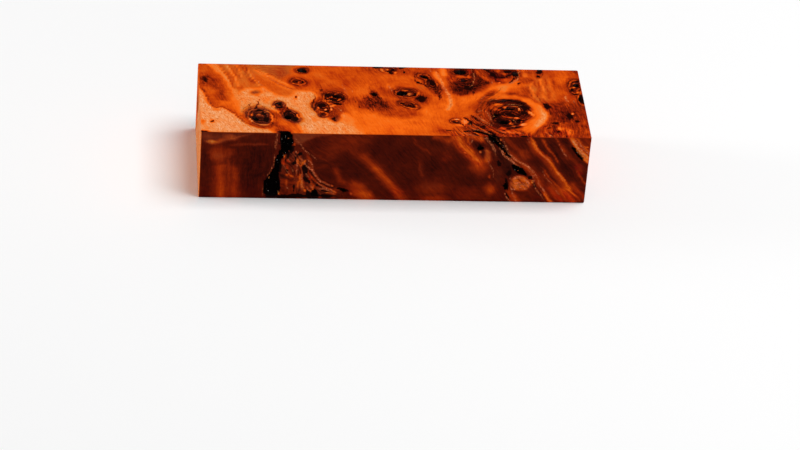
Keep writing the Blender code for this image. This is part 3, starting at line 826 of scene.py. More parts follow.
# %% Draw the wisps of dye
TOP_SMOKE = [
    (0.75, 1.0, [(-44.6, -6.5), (-43.8, -3.5), (-43.2, -0.2)]),
    (0.65, 0.7, [(-42.2, -5.5), (-42.2, -2.8), (-41.8, 0)]),
    (0.7, 1.0, [(-46.2, -8), (-46.6, -5.6), (-45.8, -3.4)]),
    (0.6, 0.6, [(-40.6, -8), (-41.8, -5.4)]),
    (0.7, 0.8, [(-34.4, -6.4), (-34.8, -4.8), (-35.2, -3.4)]),
    (0.65, 0.7, [(-36.8, -6.2), (-37, -8), (-37.6, -9.6)]),
    (0.6, 0.6, [(-38.8, -4.2), (-39.6, -6), (-39.8, -8)]),
    (0.5, 0.9, [(-37.6, -2), (-38, -0.4), (-38.4, 0.6)]),
    (0.8, 0.8, [(-25.6, -8), (-26.2, -5), (-26, -2), (-25.6, 0.4), (-25.4, 2)]),
    (0.7, 0.6, [(-24, -10.4), (-25.2, -9), (-25.8, -7)]),
    (0.55, 1.4, [(-22.8, 3), (-23.2, 6), (-23, 8.4)]),
    (0.65, 0.8, [(-6.4, 5), (-7.2, 7), (-7.8, 8.6)]),
    (0.6, 0.7, [(-5.6, 1.8), (-5.4, 0.4)]),
    (0.62, 2.0, [(-5.8, 3.6), (-5.2, 1), (-4.2, -1.6), (-3.4, -4)]),
    (0.58, 1.6, [(-4.4, -1.6), (-3.2, -3.8), (-1.6, -6.6)]),
    (0.6, 0.5, [(-4.6, 3), (-3.8, 0), (-2.4, -3), (-1.2, -6)]),
    (0.6, 0.5, [(-7.2, 4), (-6.8, 1), (-6.2, -2), (-5, -5)]),
    (0.6, 0.5, [(-9.4, 1.4), (-8.6, -1.2), (-7.4, -4)]),
    (0.55, 0.4, [(-2.8, 0), (-1.8, -3), (-0.2, -6.4)]),
    (0.6, 0.5, [(-12.8, 1), (-12, -2), (-10.8, -4.6)]),
    (0.5, 0.4, [(-3.8, -4.6), (-3, -6.6), (-2, -8.4)]),
    (0.58, 1.4, [(-6, -2), (-7.6, 0), (-8.8, 2.4)]),
    (0.62, 1.0, [(-8.4, -1.6), (-9.8, 0.6), (-10.6, 3)]),
    (0.56, 1.4, [(-8, -2.8), (-10.8, -1.6)]),
    (0.65, 0.8, [(-6.6, 0), (-8.4, 2.2), (-9.6, 4.4)]),
    (0.6, 0.7, [(-12.4, -1.8), (-12.8, 0), (-12.9, 1)]),
    (0.65, 0.8, [(-11, -4.6), (-11.4, -2.6), (-11.9, -1)]),
    (0.62, 2.4, [(-3.4, -3), (-2.4, -5), (-1.8, -7)]),
    (0.55, 2.4, [(-7, -3.6), (-7.6, -5), (-7.4, -6.4)]),
    (0.55, 0.8, [(-8.8, -2.6), (-9.8, -4.4)]),
    (0.80, 1.8, [(13.6, 9), (14.4, 6.6), (15.2, 4), (15.6, 1.6)]),
    (0.75, 0.8, [(11.6, 8.6), (9.8, 10.4), (8.6, 12)]),
    (0.6, 0.8, [(8.4, 11.6), (7.9, 13.6), (8.4, 15.6), (9.6, 17)]),
    (0.6, 0.9, [(7.8, 5.4), (8.2, 3.6)]),
    (0.7, 1.0, [(24.6, 6.2), (24.2, 4.6), (23.8, 3.4)]),
    (0.7, 1.0, [(26.4, 6.4), (26.4, 4.8), (26.2, 3.6)]),
    (0.65, 0.9, [(22.6, 7), (22, 5.6)]),
    (0.7, 1.2, [(28.4, 9), (29, 12), (29.2, 15), (28.8, 17.4)]),
    (0.55, 1.6, [(21.6, 10), (20.4, 11.8), (20, 14)]),
    (0.65, 0.8, [(21.4, 16), (21.2, 14)]),
    (0.8, 1.2, [(31.6, 20), (33.4, 16.6), (35.4, 14.8), (37.8, 15.2), (40, 17), (43.4, 19.6)]),
    (0.7, 0.8, [(35, 13.4), (34.6, 15), (35, 17)]),
    (0.7, 1.0, [(40.6, 14.6), (39.8, 12.6), (38.6, 11)]),
    (0.6, 0.7, [(43, -6), (42.6, -8.4), (41.6, -10.4)]),
    (0.7, 0.7, [(36.4, -13.4), (36.6, -15.4)]),
    (0.85, 1.0, [(22.4, -9.6), (25, -12.4), (28.4, -16.4), (31, -19.6)]),
    (0.80, 0.8, [(24.8, -8.4), (27.4, -11.4), (30.6, -15)]),
    (0.75, 0.9, [(20.6, -13.2), (23.6, -16), (26, -19.6)]),
    (0.6, 0.6, [(56.6, -5), (56, -2.6), (55.4, -0.8)]),
    (0.6, 0.7, [(58.4, -5.6), (59.4, -2), (59.6, 1)]),
    (0.65, 0.8, [(51, -2), (50.6, -5), (50.8, -8)]),
    (0.55, 1.0, [(54.6, -10.4), (52.4, -12.4), (50, -13.4)]),
]
for dye, width, points in TOP_SMOKE:
    top.smoke(dye, width, 0.35, points)
print(f"The top has {len(TOP_SMOKE)} wisps of dye")

# %% [markdown]
# Light marks in and beside the buds are painted highlights, where resin catches the light, and
# paler scraps of bark and patches of wood. They are laid last, over the dye. Each is a small
# ellipse with a tone and a warmth.

# %% Draw the painted highlights and pale patches of the top
# Painted highlights where resin in the buds catches the light, mixed with pale patches of wood.
TOP_HIGHLIGHTS_AND_PALE_PATCHES = [
    (-46.6, -13.2, 0.35, 1.2, 25, 0.18, -0.5), (-42.4, -15.6, 1.2, 0.3, 0, 0.34, -0.8),
    (-43.4, -10.4, 0.3, 1.1, 10, 0.60, -0.8), (-46.2, -10.2, 0.35, 0.9, 10, 0.42, 0.0),
    (-38.8, -5.2, 0.4, 0.7, 10, 0.24, 0.4), (-37.2, -3.9, 0.4, 0.35, 0, 0.52, 0.3),
    (-30.8, -10.4, 0.35, 1.2, 12, 0.45, 0.2), (-22.3, -6.1, 0.5, 0.4, 0, 0.22, 0.4),
    (-24.6, -5.6, 0.3, 0.9, 0, 0.40, 0.3), (-20.7, -1.0, 0.8, 0.3, -30, 0.30, -0.8),
    (-20.0, 1.4, 0.35, 1.2, -35, 0.50, 0.2), (-18.2, 3.5, 0.9, 0.3, 20, 0.44, -0.9),
    (-18.4, 0.5, 0.3, 1.0, 10, 0.42, -0.8), (-17.4, -0.6, 0.3, 0.8, -30, 0.46, 0.3),
    (-19.6, -4.2, 0.9, 0.5, 30, 0.34, 0.3), (-20.4, -5.4, 0.3, 1.1, -10, 0.24, 0.2),
    (-29.8, 9.0, 0.4, 0.5, 0, 0.46, 0.1), (-31.8, 8.6, 0.7, 0.3, -30, 0.42, 0.2),
    (5.8, 3.7, 0.7, 0.7, 0, 0.48, -0.9), (8.6, 4.0, 0.3, 0.9, 10, 0.40, 0.1),
    (4.2, 5.9, 1.0, 0.3, -15, 0.52, -0.4), (24.2, 16.9, 0.35, 0.4, 0, 0.30, -0.9),
    (19.7, -10.7, 0.7, 0.45, 0, 0.22, 0.3), (19.8, -11.9, 0.5, 0.3, 0, 0.3, 0.3),
    (23.4, 14.5, 1.8, 0.7, -10, 0.50, 0.2), (25.9, 14.6, 0.7, 0.9, 0, 0.47, 0.4),
    (39.2, -2.5, 2.2, 0.25, -6, 0.50, -0.8), (40.9, -4.2, 0.4, 0.9, -15, 0.36, -0.3),
    (36.0, -2.9, 0.35, 0.8, 20, 0.44, -0.3), (38.6, -4.9, 1.2, 0.3, 5, 0.48, -0.2),
    (32.4, -7.6, 0.4, 0.35, 0, 0.2, -1.0), (33.8, -5.0, 0.8, 0.4, -30, 0.58, 0.2),
    (36.6, -8.8, 1.4, 0.3, -15, 0.60, 0.3), (39.3, -9.3, 0.5, 0.4, 0, 0.26, 0.4),
    (40.5, -11.2, 0.25, 0.6, 20, 0.4, 0.2), (37.0, -12.6, 0.35, 1.0, 25, 0.42, 0.1),
    (37.6, -14.3, 0.9, 0.4, 0, 0.60, -0.6), (34.4, -15.5, 1.2, 0.8, 0, 0.48, 0.6),
    (44.0, -6.6, 0.6, 1.6, 20, 0.24, 0.1), (41.2, -13.0, 1.5, 0.7, 20, 0.28, 0.1),
    (57.6, -6.4, 0.3, 0.6, 10, 0.10, 0.2), (58.2, -8.3, 0.25, 0.6, 10, 0.16, 0.3),
    (-1.0, 18.4, 1.0, 0.5, 0, 0.46, -0.5), (-2.6, 17.6, 0.5, 0.7, 0, 0.50, -0.3),
    (1.9, 16.7, 0.5, 0.5, 0, 0.36, 0.2), (60.5, 11.8, 0.7, 0.25, 0, 0.40, -0.2),
    (59.9, 9.0, 0.9, 0.3, 15, 0.42, 0.1), (60.8, 6.8, 0.3, 0.9, 10, 0.46, -0.1),
    (61.9, -1.2, 0.5, 0.4, 0, 0.44, -0.4), (42.6, 19.4, 0.4, 0.8, 0, 0.45, 0.0),
    (35.8, 11.6, 0.5, 0.4, 0, 0.26, 0.3), (-39.4, -12.0, 0.7, 2.2, 25, 0.43, 0.1),
    (-14.4, 3.6, 1.2, 3.0, 10, 0.50, 0.0), (26.4, 18.0, 0.8, 2.0, 0, 0.62, 0.6),
    (22.2, -12.0, 1.2, 1.2, 0, 0.22, 0.2), (36.8, -17.6, 2.4, 0.8, -8, 0.46, 0.4),
    (5.4, 8.5, 2.2, 0.8, -10, 0.45, 0.0),
]
for u, v, across, tall, turn_by, tone, warm in TOP_HIGHLIGHTS_AND_PALE_PATCHES:
    top.highlight_or_pale_patch(u, v, across, tall, turn_by, tone, warm)
print(f"The top has {len(TOP_HIGHLIGHTS_AND_PALE_PATCHES)} light specks")

# %% [markdown]
# The thin lines of the top are edges of growth layers, pale where fresh wood shows and dark
# where a fold closed. The dark line at the left is the rim of the orange tongue.

# %% Draw the lines of the top
TOP_PALE = [
    (0.45, [(-45.2, 15.2), (-44.2, 11.5), (-43, 9), (-41.6, 6.4)]),
    (0.40, [(-44.6, 18), (-42, 14.5), (-39.6, 11.8), (-37, 8.8), (-34, 6.2), (-32.3, 5)]),
    (0.50, [(12, 20.2), (12.9, 18.8), (13.8, 17.2)]),
    (0.90, [(15.2, 17.5), (16.2, 14), (16.7, 10.5), (17, 8), (18.2, 4.5), (18.8, 0.5), (18.3, -3),
     (17, -5.6)]),
    (0.35, [(26.9, 19.5), (27.6, 16), (27.4, 12.5), (26.8, 9.8), (25.8, 8.6)]),
    (0.35, [(31.4, 0.0), (32.8, 1.1), (34, 1.7)]),
    (0.50, [(27.2, -6), (28.6, -5)]),
    (0.35, [(28.6, 1.2), (30.2, 3.4)]),
    (0.35, [(25.4, -7.8), (27.4, -9.6), (29, -11.6)]),
    (0.55, [(29.2, -5.5), (30.3, -7.5), (30.8, -10), (31.4, -12.5)]),
    (0.45, [(26.4, -9.3), (28.2, -11), (29.5, -12.5), (30.8, -13.8)]),
    (0.70, [(57.2, 4.4), (56.6, 3.2), (56.7, 1.8), (57.4, 0.9)]),
    (0.40, [(58.8, 1.8), (59.6, 0)]),
    (0.70, [(42.8, 16.5), (41.6, 13.8), (39.8, 11.6), (38, 10.2)]),
    (0.50, [(43.6, 20), (42.6, 17.6)]),
    (0.55, [(-0.9, 9), (-0.3, 7), (0.1, 5)]),
    (0.45, [(-16.4, 9), (-15.2, 5), (-14.4, 2)]),
    (0.35, [(-13.6, 6), (-12.6, 3.2)]),
    (0.45, [(-18.3, -4.8), (-17.2, -8), (-16.8, -11)]),
    (0.55, [(-20.4, -3.2), (-19.9, -5.8)]),
    (0.50, [(33.4, 12.6), (33, 10.5)]),
    (0.50, [(47.6, -16.6), (48.8, -18.4), (50, -20)]),
    (0.40, [(26.4, -16.4), (28.4, -17.6), (30.4, -19.4)]),
    (0.35, [(23.2, -14.8), (25, -16), (27, -17)]),
    (0.35, [(24.6, -9.6), (26.8, -12), (29.4, -14.8)]),
    (0.30, [(22.6, -11.4), (24.4, -13.6), (26.4, -15.4)]),
    (0.35, [(31.2, -15.6), (33.4, -17.2), (36, -18.4)]),
    (0.30, [(34.6, -17.2), (37.4, -18), (40.6, -18.2)]),
    (0.40, [(20.8, -18.6), (23.4, -19.2), (26, -20.2)]),
    (0.40, [(36.4, -1.4), (39.2, -1.2), (41.8, -1.8)]),
    (0.35, [(36.8, -9.4), (38.2, -10.6), (38.6, -12.4)]),
    (0.35, [(28.2, -1.4), (29.4, 0.6)]),
]
top.lines("pale", TOP_PALE)

TOP_DARK = [
    (0.40, [(-44.2, 18.2), (-42.3, 15.6), (-41, 14)]),
    (0.35, [(-43.8, 9.8), (-42.2, 7.2)]),
    (0.35, [(-42.9, -0.4), (-43.4, -2.6), (-43.2, -4.6)]),
    (0.30, [(-49, -12.6), (-48.8, -9), (-46.6, -5.8), (-43, -4.4), (-39.8, -5.6)]),
    (0.28, [(-48, -14.6), (-49.8, -11), (-48.8, -7), (-46, -4)]),
    (0.28, [(-38.4, -7.6), (-38, -11), (-39, -14.8)]),
    (0.28, [(-50, 1.6), (-49, -3), (-49.4, -6.4)]),
    (0.30, [(-41.6, -0.8), (-42.4, -3.4)]),
    (0.35, [(-40.4, -9.4), (-41.8, -6.6), (-42, -4.6)]),
    (0.35, [(-47.2, -5), (-45.6, -3.2)]),
    (0.35, [(-34.8, -3.8), (-34.2, -5.6)]),
    (0.30, [(-25.8, 1.4), (-25.6, -1), (-26.2, -3.6), (-25.8, -6.6), (-25, -8.6)]),
    (0.45, [(36.5, 8.6), (34, 5.6), (31.8, 3), (30.2, 0.6), (28.6, -2), (27, -4.5)]),
    (0.45, [(34, 2.4), (32, 0.8), (30.4, -1.4), (30.2, -3.6)]),
    (0.40, [(35, 3.4), (31.4, 1.2), (29, -2), (28.2, -5.6), (28.6, -9)]),
    (0.40, [(27.2, -3.2), (26.6, -6.4), (27.4, -9.6), (29.6, -12.6)]),
    (0.60, [(31.8, -5), (33.4, -2.4), (37.6, -1.6), (41.2, -2.8), (42.6, -6), (41.4, -9.4)]),
    (0.45, [(34.2, -6), (36.2, -4), (39.8, -3.6), (41, -5.6), (40, -7.6)]),
    (0.45, [(31.2, -9.8), (32.2, -12.6), (35, -14.2), (38.6, -13), (40.4, -10)]),
    (1.30, [(31.4, -1.0), (33.6, 0.9), (37.8, 1.2), (41.6, 0.4), (43.8, -2.4), (44, -5)]),
    (0.40, [(46, 7), (47.6, 3.4), (48.4, 0)]),
    (0.40, [(27, -5.6), (28, -8.4), (30, -11.6), (32, -14)]),
    (0.50, [(25.2, -8.4), (26.6, -10.6), (29, -13.6), (31.6, -16)]),
    (0.45, [(22, -15.4), (25, -16.4), (29, -18)]),
    (0.50, [(31, -14.6), (33, -17.2), (36, -19.2)]),
    (0.30, [(13, -16.4), (16, -16.8), (19, -17.2), (22, -17.6)]),
    (0.35, [(23.4, -9.8), (25.4, -12.2), (27.8, -15)]),
    (0.35, [(28.6, -11.4), (31, -14.2), (34, -16.4)]),
    (0.35, [(28.4, 20.4), (30.4, 16.4), (33, 13)]),
    (0.35, [(30.4, 20.4), (32.2, 17.4)]),
    (0.45, [(49.6, 20), (50.4, 17.8), (49.6, 15.4), (48, 14)]),
    (0.35, [(47.2, -15.6), (49.4, -14.6), (51.6, -15), (53, -17)]),
    (0.40, [(54, -14), (56, -16.6), (58, -19.6)]),
    (0.35, [(59.2, 13.6), (60.6, 12.8), (61.8, 13.2)]),
    (0.35, [(58.8, 6.6), (60.4, 5.6), (61.8, 6.4)]),
]
top.lines("dark", TOP_DARK)

top.stroke(
    0.70, 0.5, 0.35,
    [(-63, 8), (-61.3, 4.5), (-60, 1), (-59.2, -2.5), (-58.7, -5), (-57.5, -6.3), (-55.5, -6),
     (-54, -6.8), (-52, -9.2), (-50, -12.2), (-48.5, -14.3), (-46.5, -15.6)],
    warm=-0.4,
)
for level in (18.9, 17.5, 16.2, 14.8, 13.2):
    layer = [(-45 + (19 - level), level), (-40, level + 0.4), (-33.5, level + 0.1)]
    top.stroke(0.56, 0.35, 0.3, layer, warm=-0.4)
print(f"The top has {len(TOP_PALE)} pale and {len(TOP_DARK)} dark lines")

# %% [markdown]
# ## The front side
#
# This side took more dye and shows the wood along its depth, so it is a deep maroon with soft
# glowing bands: lighter growth layers, with their chatoyant sheen painted into the colour. The
# bark voids at the left are filled round with crumpled bark, and at the right the growth layers
# lean and run out as long bright streaks.

# %% Draw the front side
front = Figure("front", tone=0.74, seed=7, wander=0.4)
front.area(0.70, 2.5, [(-24, 26), (-24, 17), (-17, 15), (-10, 20), (-8, 26)], warm=0.0)
front.area(
    0.69, 0.6,
    [(-63, 26), (-63, 21.8), (-60.5, 20.9), (-58.5, 20.3), (-56, 21.1), (-53, 22), (-50, 23.4),
     (-46, 24.4), (-38.7, 24.8), (-38.7, 26)],
    warm=-0.6,
)
FRONT_SPOTS = [
    (-59.8, 23.6, 2.4, 1.2, 0, 0.63, 0.7, -0.7), (-58.6, 21.5, 1.7, 0.6, -4, 0.32, 0.8, -0.7),
    (-56.2, 22.2, 1.2, 0.7, 20, 0.56, 0.8, -0.4), (-53.0, 23.6, 2.4, 1.0, 0, 0.56, 0.6, -0.6),
    (-46.6, 23.2, 4.2, 1.4, 0, 0.71, 0.7, -0.3), (-57.0, 17.2, 2.6, 2.8, 0, 0.60, 0.8, -0.3),
    (-53.6, 17.6, 1.6, 1.6, 0, 0.64, 0.8, -0.2), (-44.8, 13.0, 4.6, 8.8, 0, 0.81, 0.7, 0.1),
    (-61.4, 8, 1.5, 9, 0, 0.77, 0.7, 0.2), (-45.4, 3, 2.4, 3.4, 0, 0.82, 0.8, 0.2),
    (1.8, 2.8, 1.2, 1.4, 20, 0.51, 0.7, 0.1), (-12.0, 5.2, 2.6, 2.6, -40, 0.59, 0.8, 0.0),
    (-9.0, 1.8, 3.6, 1.7, -15, 0.55, 0.7, 0.0), (-15.5, 22.0, 2.6, 2.6, -30, 0.67, 0.8, 0.1),
    (-10, 10, 3.4, 2.4, -50, 0.79, 0.8, 0.1), (-3.4, 3.0, 2.2, 2.6, -50, 0.78, 0.8, 0.0),
    (5.6, 8, 2.0, 2.6, -40, 0.79, 0.8, 0.2), (11.6, 13.6, 2.6, 3.4, 0, 0.80, 0.8, 0.0),
    (11.6, 23.4, 3, 1.8, -30, 0.79, 0.8, -0.1), (-3, 18.6, 5.0, 4.4, 0, 0.765, 0.8, 0.2),
    (-17.0, 14.0, 3.0, 3.4, -30, 0.77, 0.8, 0.0), (13.6, 5, 4.5, 2.2, 0, 0.665, 0.8, -0.35),
    (13.5, 0.8, 4.0, 1.2, 0, 0.63, 0.8, 0.1), (16.5, 16.6, 2.2, 1.8, -30, 0.70, 0.8, 0.3),
    (18.6, 12.4, 2.4, 3.2, 0, 0.79, 0.8, 0.0), (27.0, 12.8, 2.8, 2.6, 0, 0.62, 0.8, 0.0),
    (31.4, 5.0, 1.6, 2.0, 0, 0.58, 0.8, -0.1), (24.0, 3.0, 3.6, 2.6, 0, 0.69, 0.8, 0.0),
    (23.8, 9.0, 3.2, 2.4, 0, 0.80, 0.8, 0.0), (27.0, 20.4, 1.5, 2.8, 15, 0.87, 0.7, -0.1),
    (41.4, 18.6, 2.6, 1.6, -30, 0.66, 0.8, 0.0), (47.5, 14.0, 2.0, 3.2, 35, 0.765, 0.7, -0.2),
    (56.4, 5.9, 1.5, 0.9, -10, 0.38, 0.5, 0.0), (59.4, 14.0, 1.4, 1.2, -30, 0.66, 0.6, 1.0),
    (60.0, 11.8, 1.0, 0.8, 0, 0.66, 0.6, 1.0), (54.6, 22.6, 1.8, 2.0, -50, 0.80, 0.7, 0.1),
    (43.8, 3.6, 1.8, 2.4, -40, 0.73, 0.7, -0.3), (34.0, 9.8, 1.2, 2.6, 0, 0.72, 0.7, -0.4),
    (61.2, 21.6, 0.9, 0.9, 0, 0.66, 0.7, 0.2),
]
for u, v, across, tall, turn_by, tone, soft, warm in FRONT_SPOTS:
    front.spot(u, v, across, tall, turn_by, tone, soft, warm=warm)

# Lighter bands here are growth layers, with their chatoyant sheen painted into the colour.
FRONT_BANDS = [
    (0.66, 0.8, 0.6, -0.4, [(-54, 20.6), (-48, 20.7), (-44, 20.9), (-40.5, 21)]),
    (0.50, 0.3, 0.5, -0.8, [(-61.6, 22.2), (-59.6, 21), (-57.4, 21.1), (-55, 22.4), (-51.6, 23.4),
     (-47, 24.6)]),
    (0.55, 3.0, 2.6, 0.15, [(-56, 14), (-55.6, 8), (-55.4, 3), (-55.2, -3)]),
    (0.60, 2.0, 2.0, 0.15, [(-51.4, 13), (-51.0, 5), (-50.8, -3)]),
    (0.63, 0.5, 0.5, 0.1, [(-53.2, 16), (-53.0, 8), (-52.9, 1)]),
    (0.60, 2.6, 1.8, 0.0, [(-12, 19), (-8, 14.5), (-4.5, 10.5), (-1.5, 6.5), (1.5, 2.8), (4.5, -1)]),
    (0.525, 1.1, 1.0, 0.0, [(-7.5, 13.6), (-5, 11), (-2.4, 8), (0, 5), (1.6, 2.6)]),
    (0.615, 1.5, 1.2, -0.2, [(-19.4, 12.8), (-18.4, 10), (-17.2, 7.5), (-15.4, 6.0)]),
    (0.67, 0.7, 0.7, 0.0, [(4.6, 25), (6.2, 22), (8, 20.3), (10, 19.3), (12, 17.8)]),
    (0.67, 0.6, 0.6, -0.2, [(7.4, 16), (8.4, 12), (9.2, 9.6)]),
    (0.60, 1.8, 1.2, 0.0, [(11, 25.4), (14.5, 24.2), (17.5, 22.8)]),
    (0.51, 1.6, 0.7, -0.4, [(28.9, 20.6), (29.4, 18.4), (30, 15.6)]),
    (0.64, 1.0, 0.8, 0.1, [(34.6, 25.4), (36.8, 22.6), (39.4, 20.2), (42, 18.4)]),
    (0.60, 1.2, 1.0, 0.1, [(41.4, 26), (43.4, 22), (46.4, 18.2), (49.4, 14.6), (52.2, 10.6),
     (54.4, 7.6), (56.6, 4.6), (60, 0)]),
    (0.40, 0.8, 0.4, 0.0, [(42.4, 26), (44.4, 22), (47.4, 18.6), (50.4, 15), (53.2, 11), (55.4, 8),
     (57.6, 5), (61, 1)]),
    (0.33, 0.6, 0.4, 0.2, [(43.2, 23.2), (45.2, 21), (47.8, 18.4)]),
    (0.60, 1.2, 1.0, -0.3, [(47, 12.4), (50, 8.6), (52.4, 5.8), (55, 3), (58, -0.6)]),
    (0.40, 1.1, 0.5, 0.0, [(48.8, 4), (50.4, 1.8), (52, -0.4)]),
    (0.64, 1.2, 1.0, 0.1, [(52.6, 24), (55, 19), (58.4, 15.4), (61, 12)]),
    (0.84, 1.4, 0.9, 0.1, [(49, 24), (51.6, 19), (55, 13.5), (58.6, 8.6)]),
    (0.60, 1.4, 0.9, 0.2, [(57.5, 8), (60, 4.6), (63, 1.6)]),
    (0.34, 0.4, 0.3, 0.0, [(43.0, 25.6), (44.6, 22.8), (46.8, 20.2), (49.4, 17.2), (51.4, 14.4)]),
    (0.36, 0.4, 0.3, 0.1, [(51.0, 14.8), (53.2, 11.6), (55.0, 9.2), (56.6, 7)]),
    (0.66, 0.3, 0.3, 0.2, [(44.2, 24), (46.4, 20.8), (49.2, 17.4), (51.8, 14), (54, 10.8)]),
    (0.50, 0.5, 0.4, 0.0, [(46.4, 25), (48.6, 21.4), (51, 18.4), (53, 15)]),
    (0.52, 0.5, 0.4, 0.1, [(47.8, 13.6), (50.4, 9.8), (53.4, 6.2), (56.4, 2.2)]),
    (0.56, 0.5, 0.4, 0.1, [(58.8, 13), (60.6, 9.6), (62.6, 7)]),
    (0.54, 0.4, 0.4, 0.0, [(50.6, 25.6), (52.4, 22.4), (54.6, 19.4)]),
    (0.53, 1.6, 0.9, 0.1, [(38.4, 4), (40, 1.2), (41.6, -1)]),
]
front.bands(FRONT_BANDS)
print(f"The front has {len(FRONT_SPOTS)} soft spots and {len(FRONT_BANDS)} bands")

# %% [markdown]
# Over the right half the growth layers run out to the surface. A wedge of orange wood hangs
# from the top edge with dark bark beside it, and the far corner is bright and finely streaked.
# At the left a strip of tan wood lies along the top edge, beside the void. At the end the whole
# side gets more contrast, its darkest tones are held back, and the foot is made a little
# lighter and redder.

# %% Draw the wedge, the corner and the tan strip of the front
front.area(
    0.62, 0.5,
    [(-33.4, 26), (-32.5, 22), (-30.5, 21), (-29, 22.5), (-26.5, 23.9), (-22, 24.7), (-21, 26)],
    warm=-0.7,
)
FRONT_WEDGE = [
    (0.45, 3.0, 1.8, 0.5, [(17.6, 27), (19.6, 23.4), (22.4, 20), (25.6, 16.8), (29, 14)]),
    (0.38, 1.4, 0.8, 0.15, [(19.4, 27), (20.8, 23.8), (22.6, 21), (24.6, 18.6)]),
    (0.44, 0.8, 0.6, 0.1, [(21.6, 27), (22.6, 24.4), (23.6, 21.8)]),
    (0.44, 2.4, 1.2, 0.3, [(23, 26.6), (25.6, 25), (28.4, 23.4)]),
    (0.64, 0.5, 0.4, 0.3, [(21, 26), (22.8, 22.8), (25, 20), (26.6, 18)]),
    (0.66, 0.4, 0.4, 0.3, [(18, 24), (20.4, 20.6), (23.6, 17.6)]),
    (0.38, 0.5, 0.5, 0.0, [(18.6, 26), (20.2, 22.8), (22.8, 19.6), (25.6, 17), (27.8, 15.4)]),
    (0.58, 0.4, 0.4, 0.2, [(20.2, 25.4), (21.8, 22.2), (24, 19.4), (26, 17.6)]),
]
front.bands(FRONT_WEDGE)
front.area(
    0.82, 0.9,
    [(28, 26), (31, 22.5), (34.5, 19), (37, 16.5), (38.6, 14.6), (38, 10.6), (35.5, 11), (33.4, 15.5),
     (31.6, 19), (30, 21.4), (27.4, 26)],
    warm=-0.3,
)
front.area(
    0.46, 0.8,
    [(54.4, 26), (56.4, 23), (58.6, 20), (61, 17.2), (63.5, 15), (63.5, 18.2), (61.4, 20.2),
     (59.4, 22.6), (57.4, 26)],
    warm=0.1,
)
FRONT_CORNER = [
    (0.56, 1.8, 1.4, 0.1, [(35.6, 20), (38.6, 16.6), (42.6, 13.4), (46.2, 9.6), (48.8, 4.4)]),
    (0.58, 1.0, 0.8, 0.0, [(36.6, 6), (38, 2.6), (40, -1)]),
    (0.18, 0.6, 0.4, -0.1, [(55.8, 25), (57.8, 22.2), (60, 19.6), (62.8, 17)]),
    (0.46, 0.5, 0.4, 0.3, [(57.6, 26), (59.4, 23.2), (61.4, 20.8), (63.4, 19)]),
    (0.24, 1.0, 0.8, 0.2, [(57.6, 21.6), (60.0, 18.4), (63.6, 15.0)]),
    (0.66, 0.4, 0.4, 0.2, [(56.8, 25.6), (58.8, 22.6), (61, 19.8), (63, 17.8)]),
    (0.64, 0.4, 0.4, 0.3, [(59.6, 24.6), (61.2, 22.2), (63, 20.6)]),
    (0.66, 2.4, 1.4, 0.3, [(59.0, 27), (61.0, 24.6), (63.6, 22.2)]),
    (0.56, 1.6, 1.2, 0.5, [(49.6, 6.4), (52.6, 3.4), (55.6, 0)]),
    (0.50, 1.4, 1.0, 0.4, [(54, 6), (57, 2.6), (59.6, -1)]),
    (0.70, 0.6, 0.5, 0.1, [(55.2, 23.4), (57.4, 20), (59.8, 16.6)]),
]
front.bands(FRONT_CORNER)

EVEN_TONE = 0.62
DARK_FROM = 0.79
deepened = (front.tone - EVEN_TONE) * smooth_step(0.45, 0.6, front.tone)
front.tone += 0.3 * deepened
front.tone = np.minimum(front.tone, DARK_FROM + 0.4 * (front.tone - DARK_FROM))
low_down = smooth_step(9, 1, front.v)
front.tone -= 0.035 * low_down
front.warm += 0.3 * low_down
print(f"The wedge has {len(FRONT_WEDGE)} bands and the corner {len(FRONT_CORNER)}")

# %% [markdown]
# Bark folds into burl wood and is sawn through with it. It shows as a jumble of tan, pink and
# black scraps between the void and a pale lip line, and once more as a round lump at the right.

# %% Draw the bark of the front side
front.area(
    0.75, 0.4,
    [(-36.6, 18.6), (-34.8, 18.6), (-33.4, 24), (-32.4, 20.4), (-30.6, 17.8), (-28.6, 15), (-26.6, 12),
     (-23.8, 8.4), (-20, 5.8), (-17.4, 4.2), (-14.6, 1.8), (-16, -0.5), (-36.4, -0.5), (-36.8, 9),
     (-36.4, 13)],
    warm=-0.3, crust=0.38,
)
front.area(0.72, 0.6, [(-36.2, 8), (-33, 8), (-31.6, 5), (-32, 1.6), (-36.2, 1.6)], warm=0.1, crust=0.2)
BARK_FOLDS = [
    (0.62, 0.5, 0.4, -0.5, [(-33.6, 19.6), (-32.2, 16), (-31.6, 12), (-31.8, 8), (-31, 4)]),
    (0.46, 0.5, 0.4, -0.7, [(-31.2, 17.4), (-29.8, 13.4), (-29.6, 9.4), (-30.2, 5.4)]),
    (0.38, 0.8, 0.4, -0.5, [(-30.4, 9), (-29.6, 6.4), (-29, 3.4)]),
    (0.70, 0.5, 0.4, 0.4, [(-35.4, 15.4), (-34.6, 12.2), (-33.4, 9.6), (-32.8, 6)]),
    (0.68, 0.4, 0.4, 0.4, [(-36.6, 18.2), (-35.4, 15.8), (-34.8, 13)]),
    (0.56, 0.6, 0.4, 0.1, [(-28.4, 17.4), (-26.9, 12.6), (-24.4, 8.4), (-20.8, 5.2)]),
    (0.57, 0.5, 0.4, 0.5, [(-27.8, 11), (-25.6, 7.6), (-22.6, 5), (-19, 3)]),
    (0.46, 0.4, 0.3, -0.3, [(-27.4, 7.2), (-25, 4.6), (-21.8, 2.8), (-17.6, 1.4)]),
    (0.40, 0.5, 0.3, -0.4, [(-28.2, 5), (-26.6, 3), (-24.6, 2)]),
]
front.bands(BARK_FOLDS)
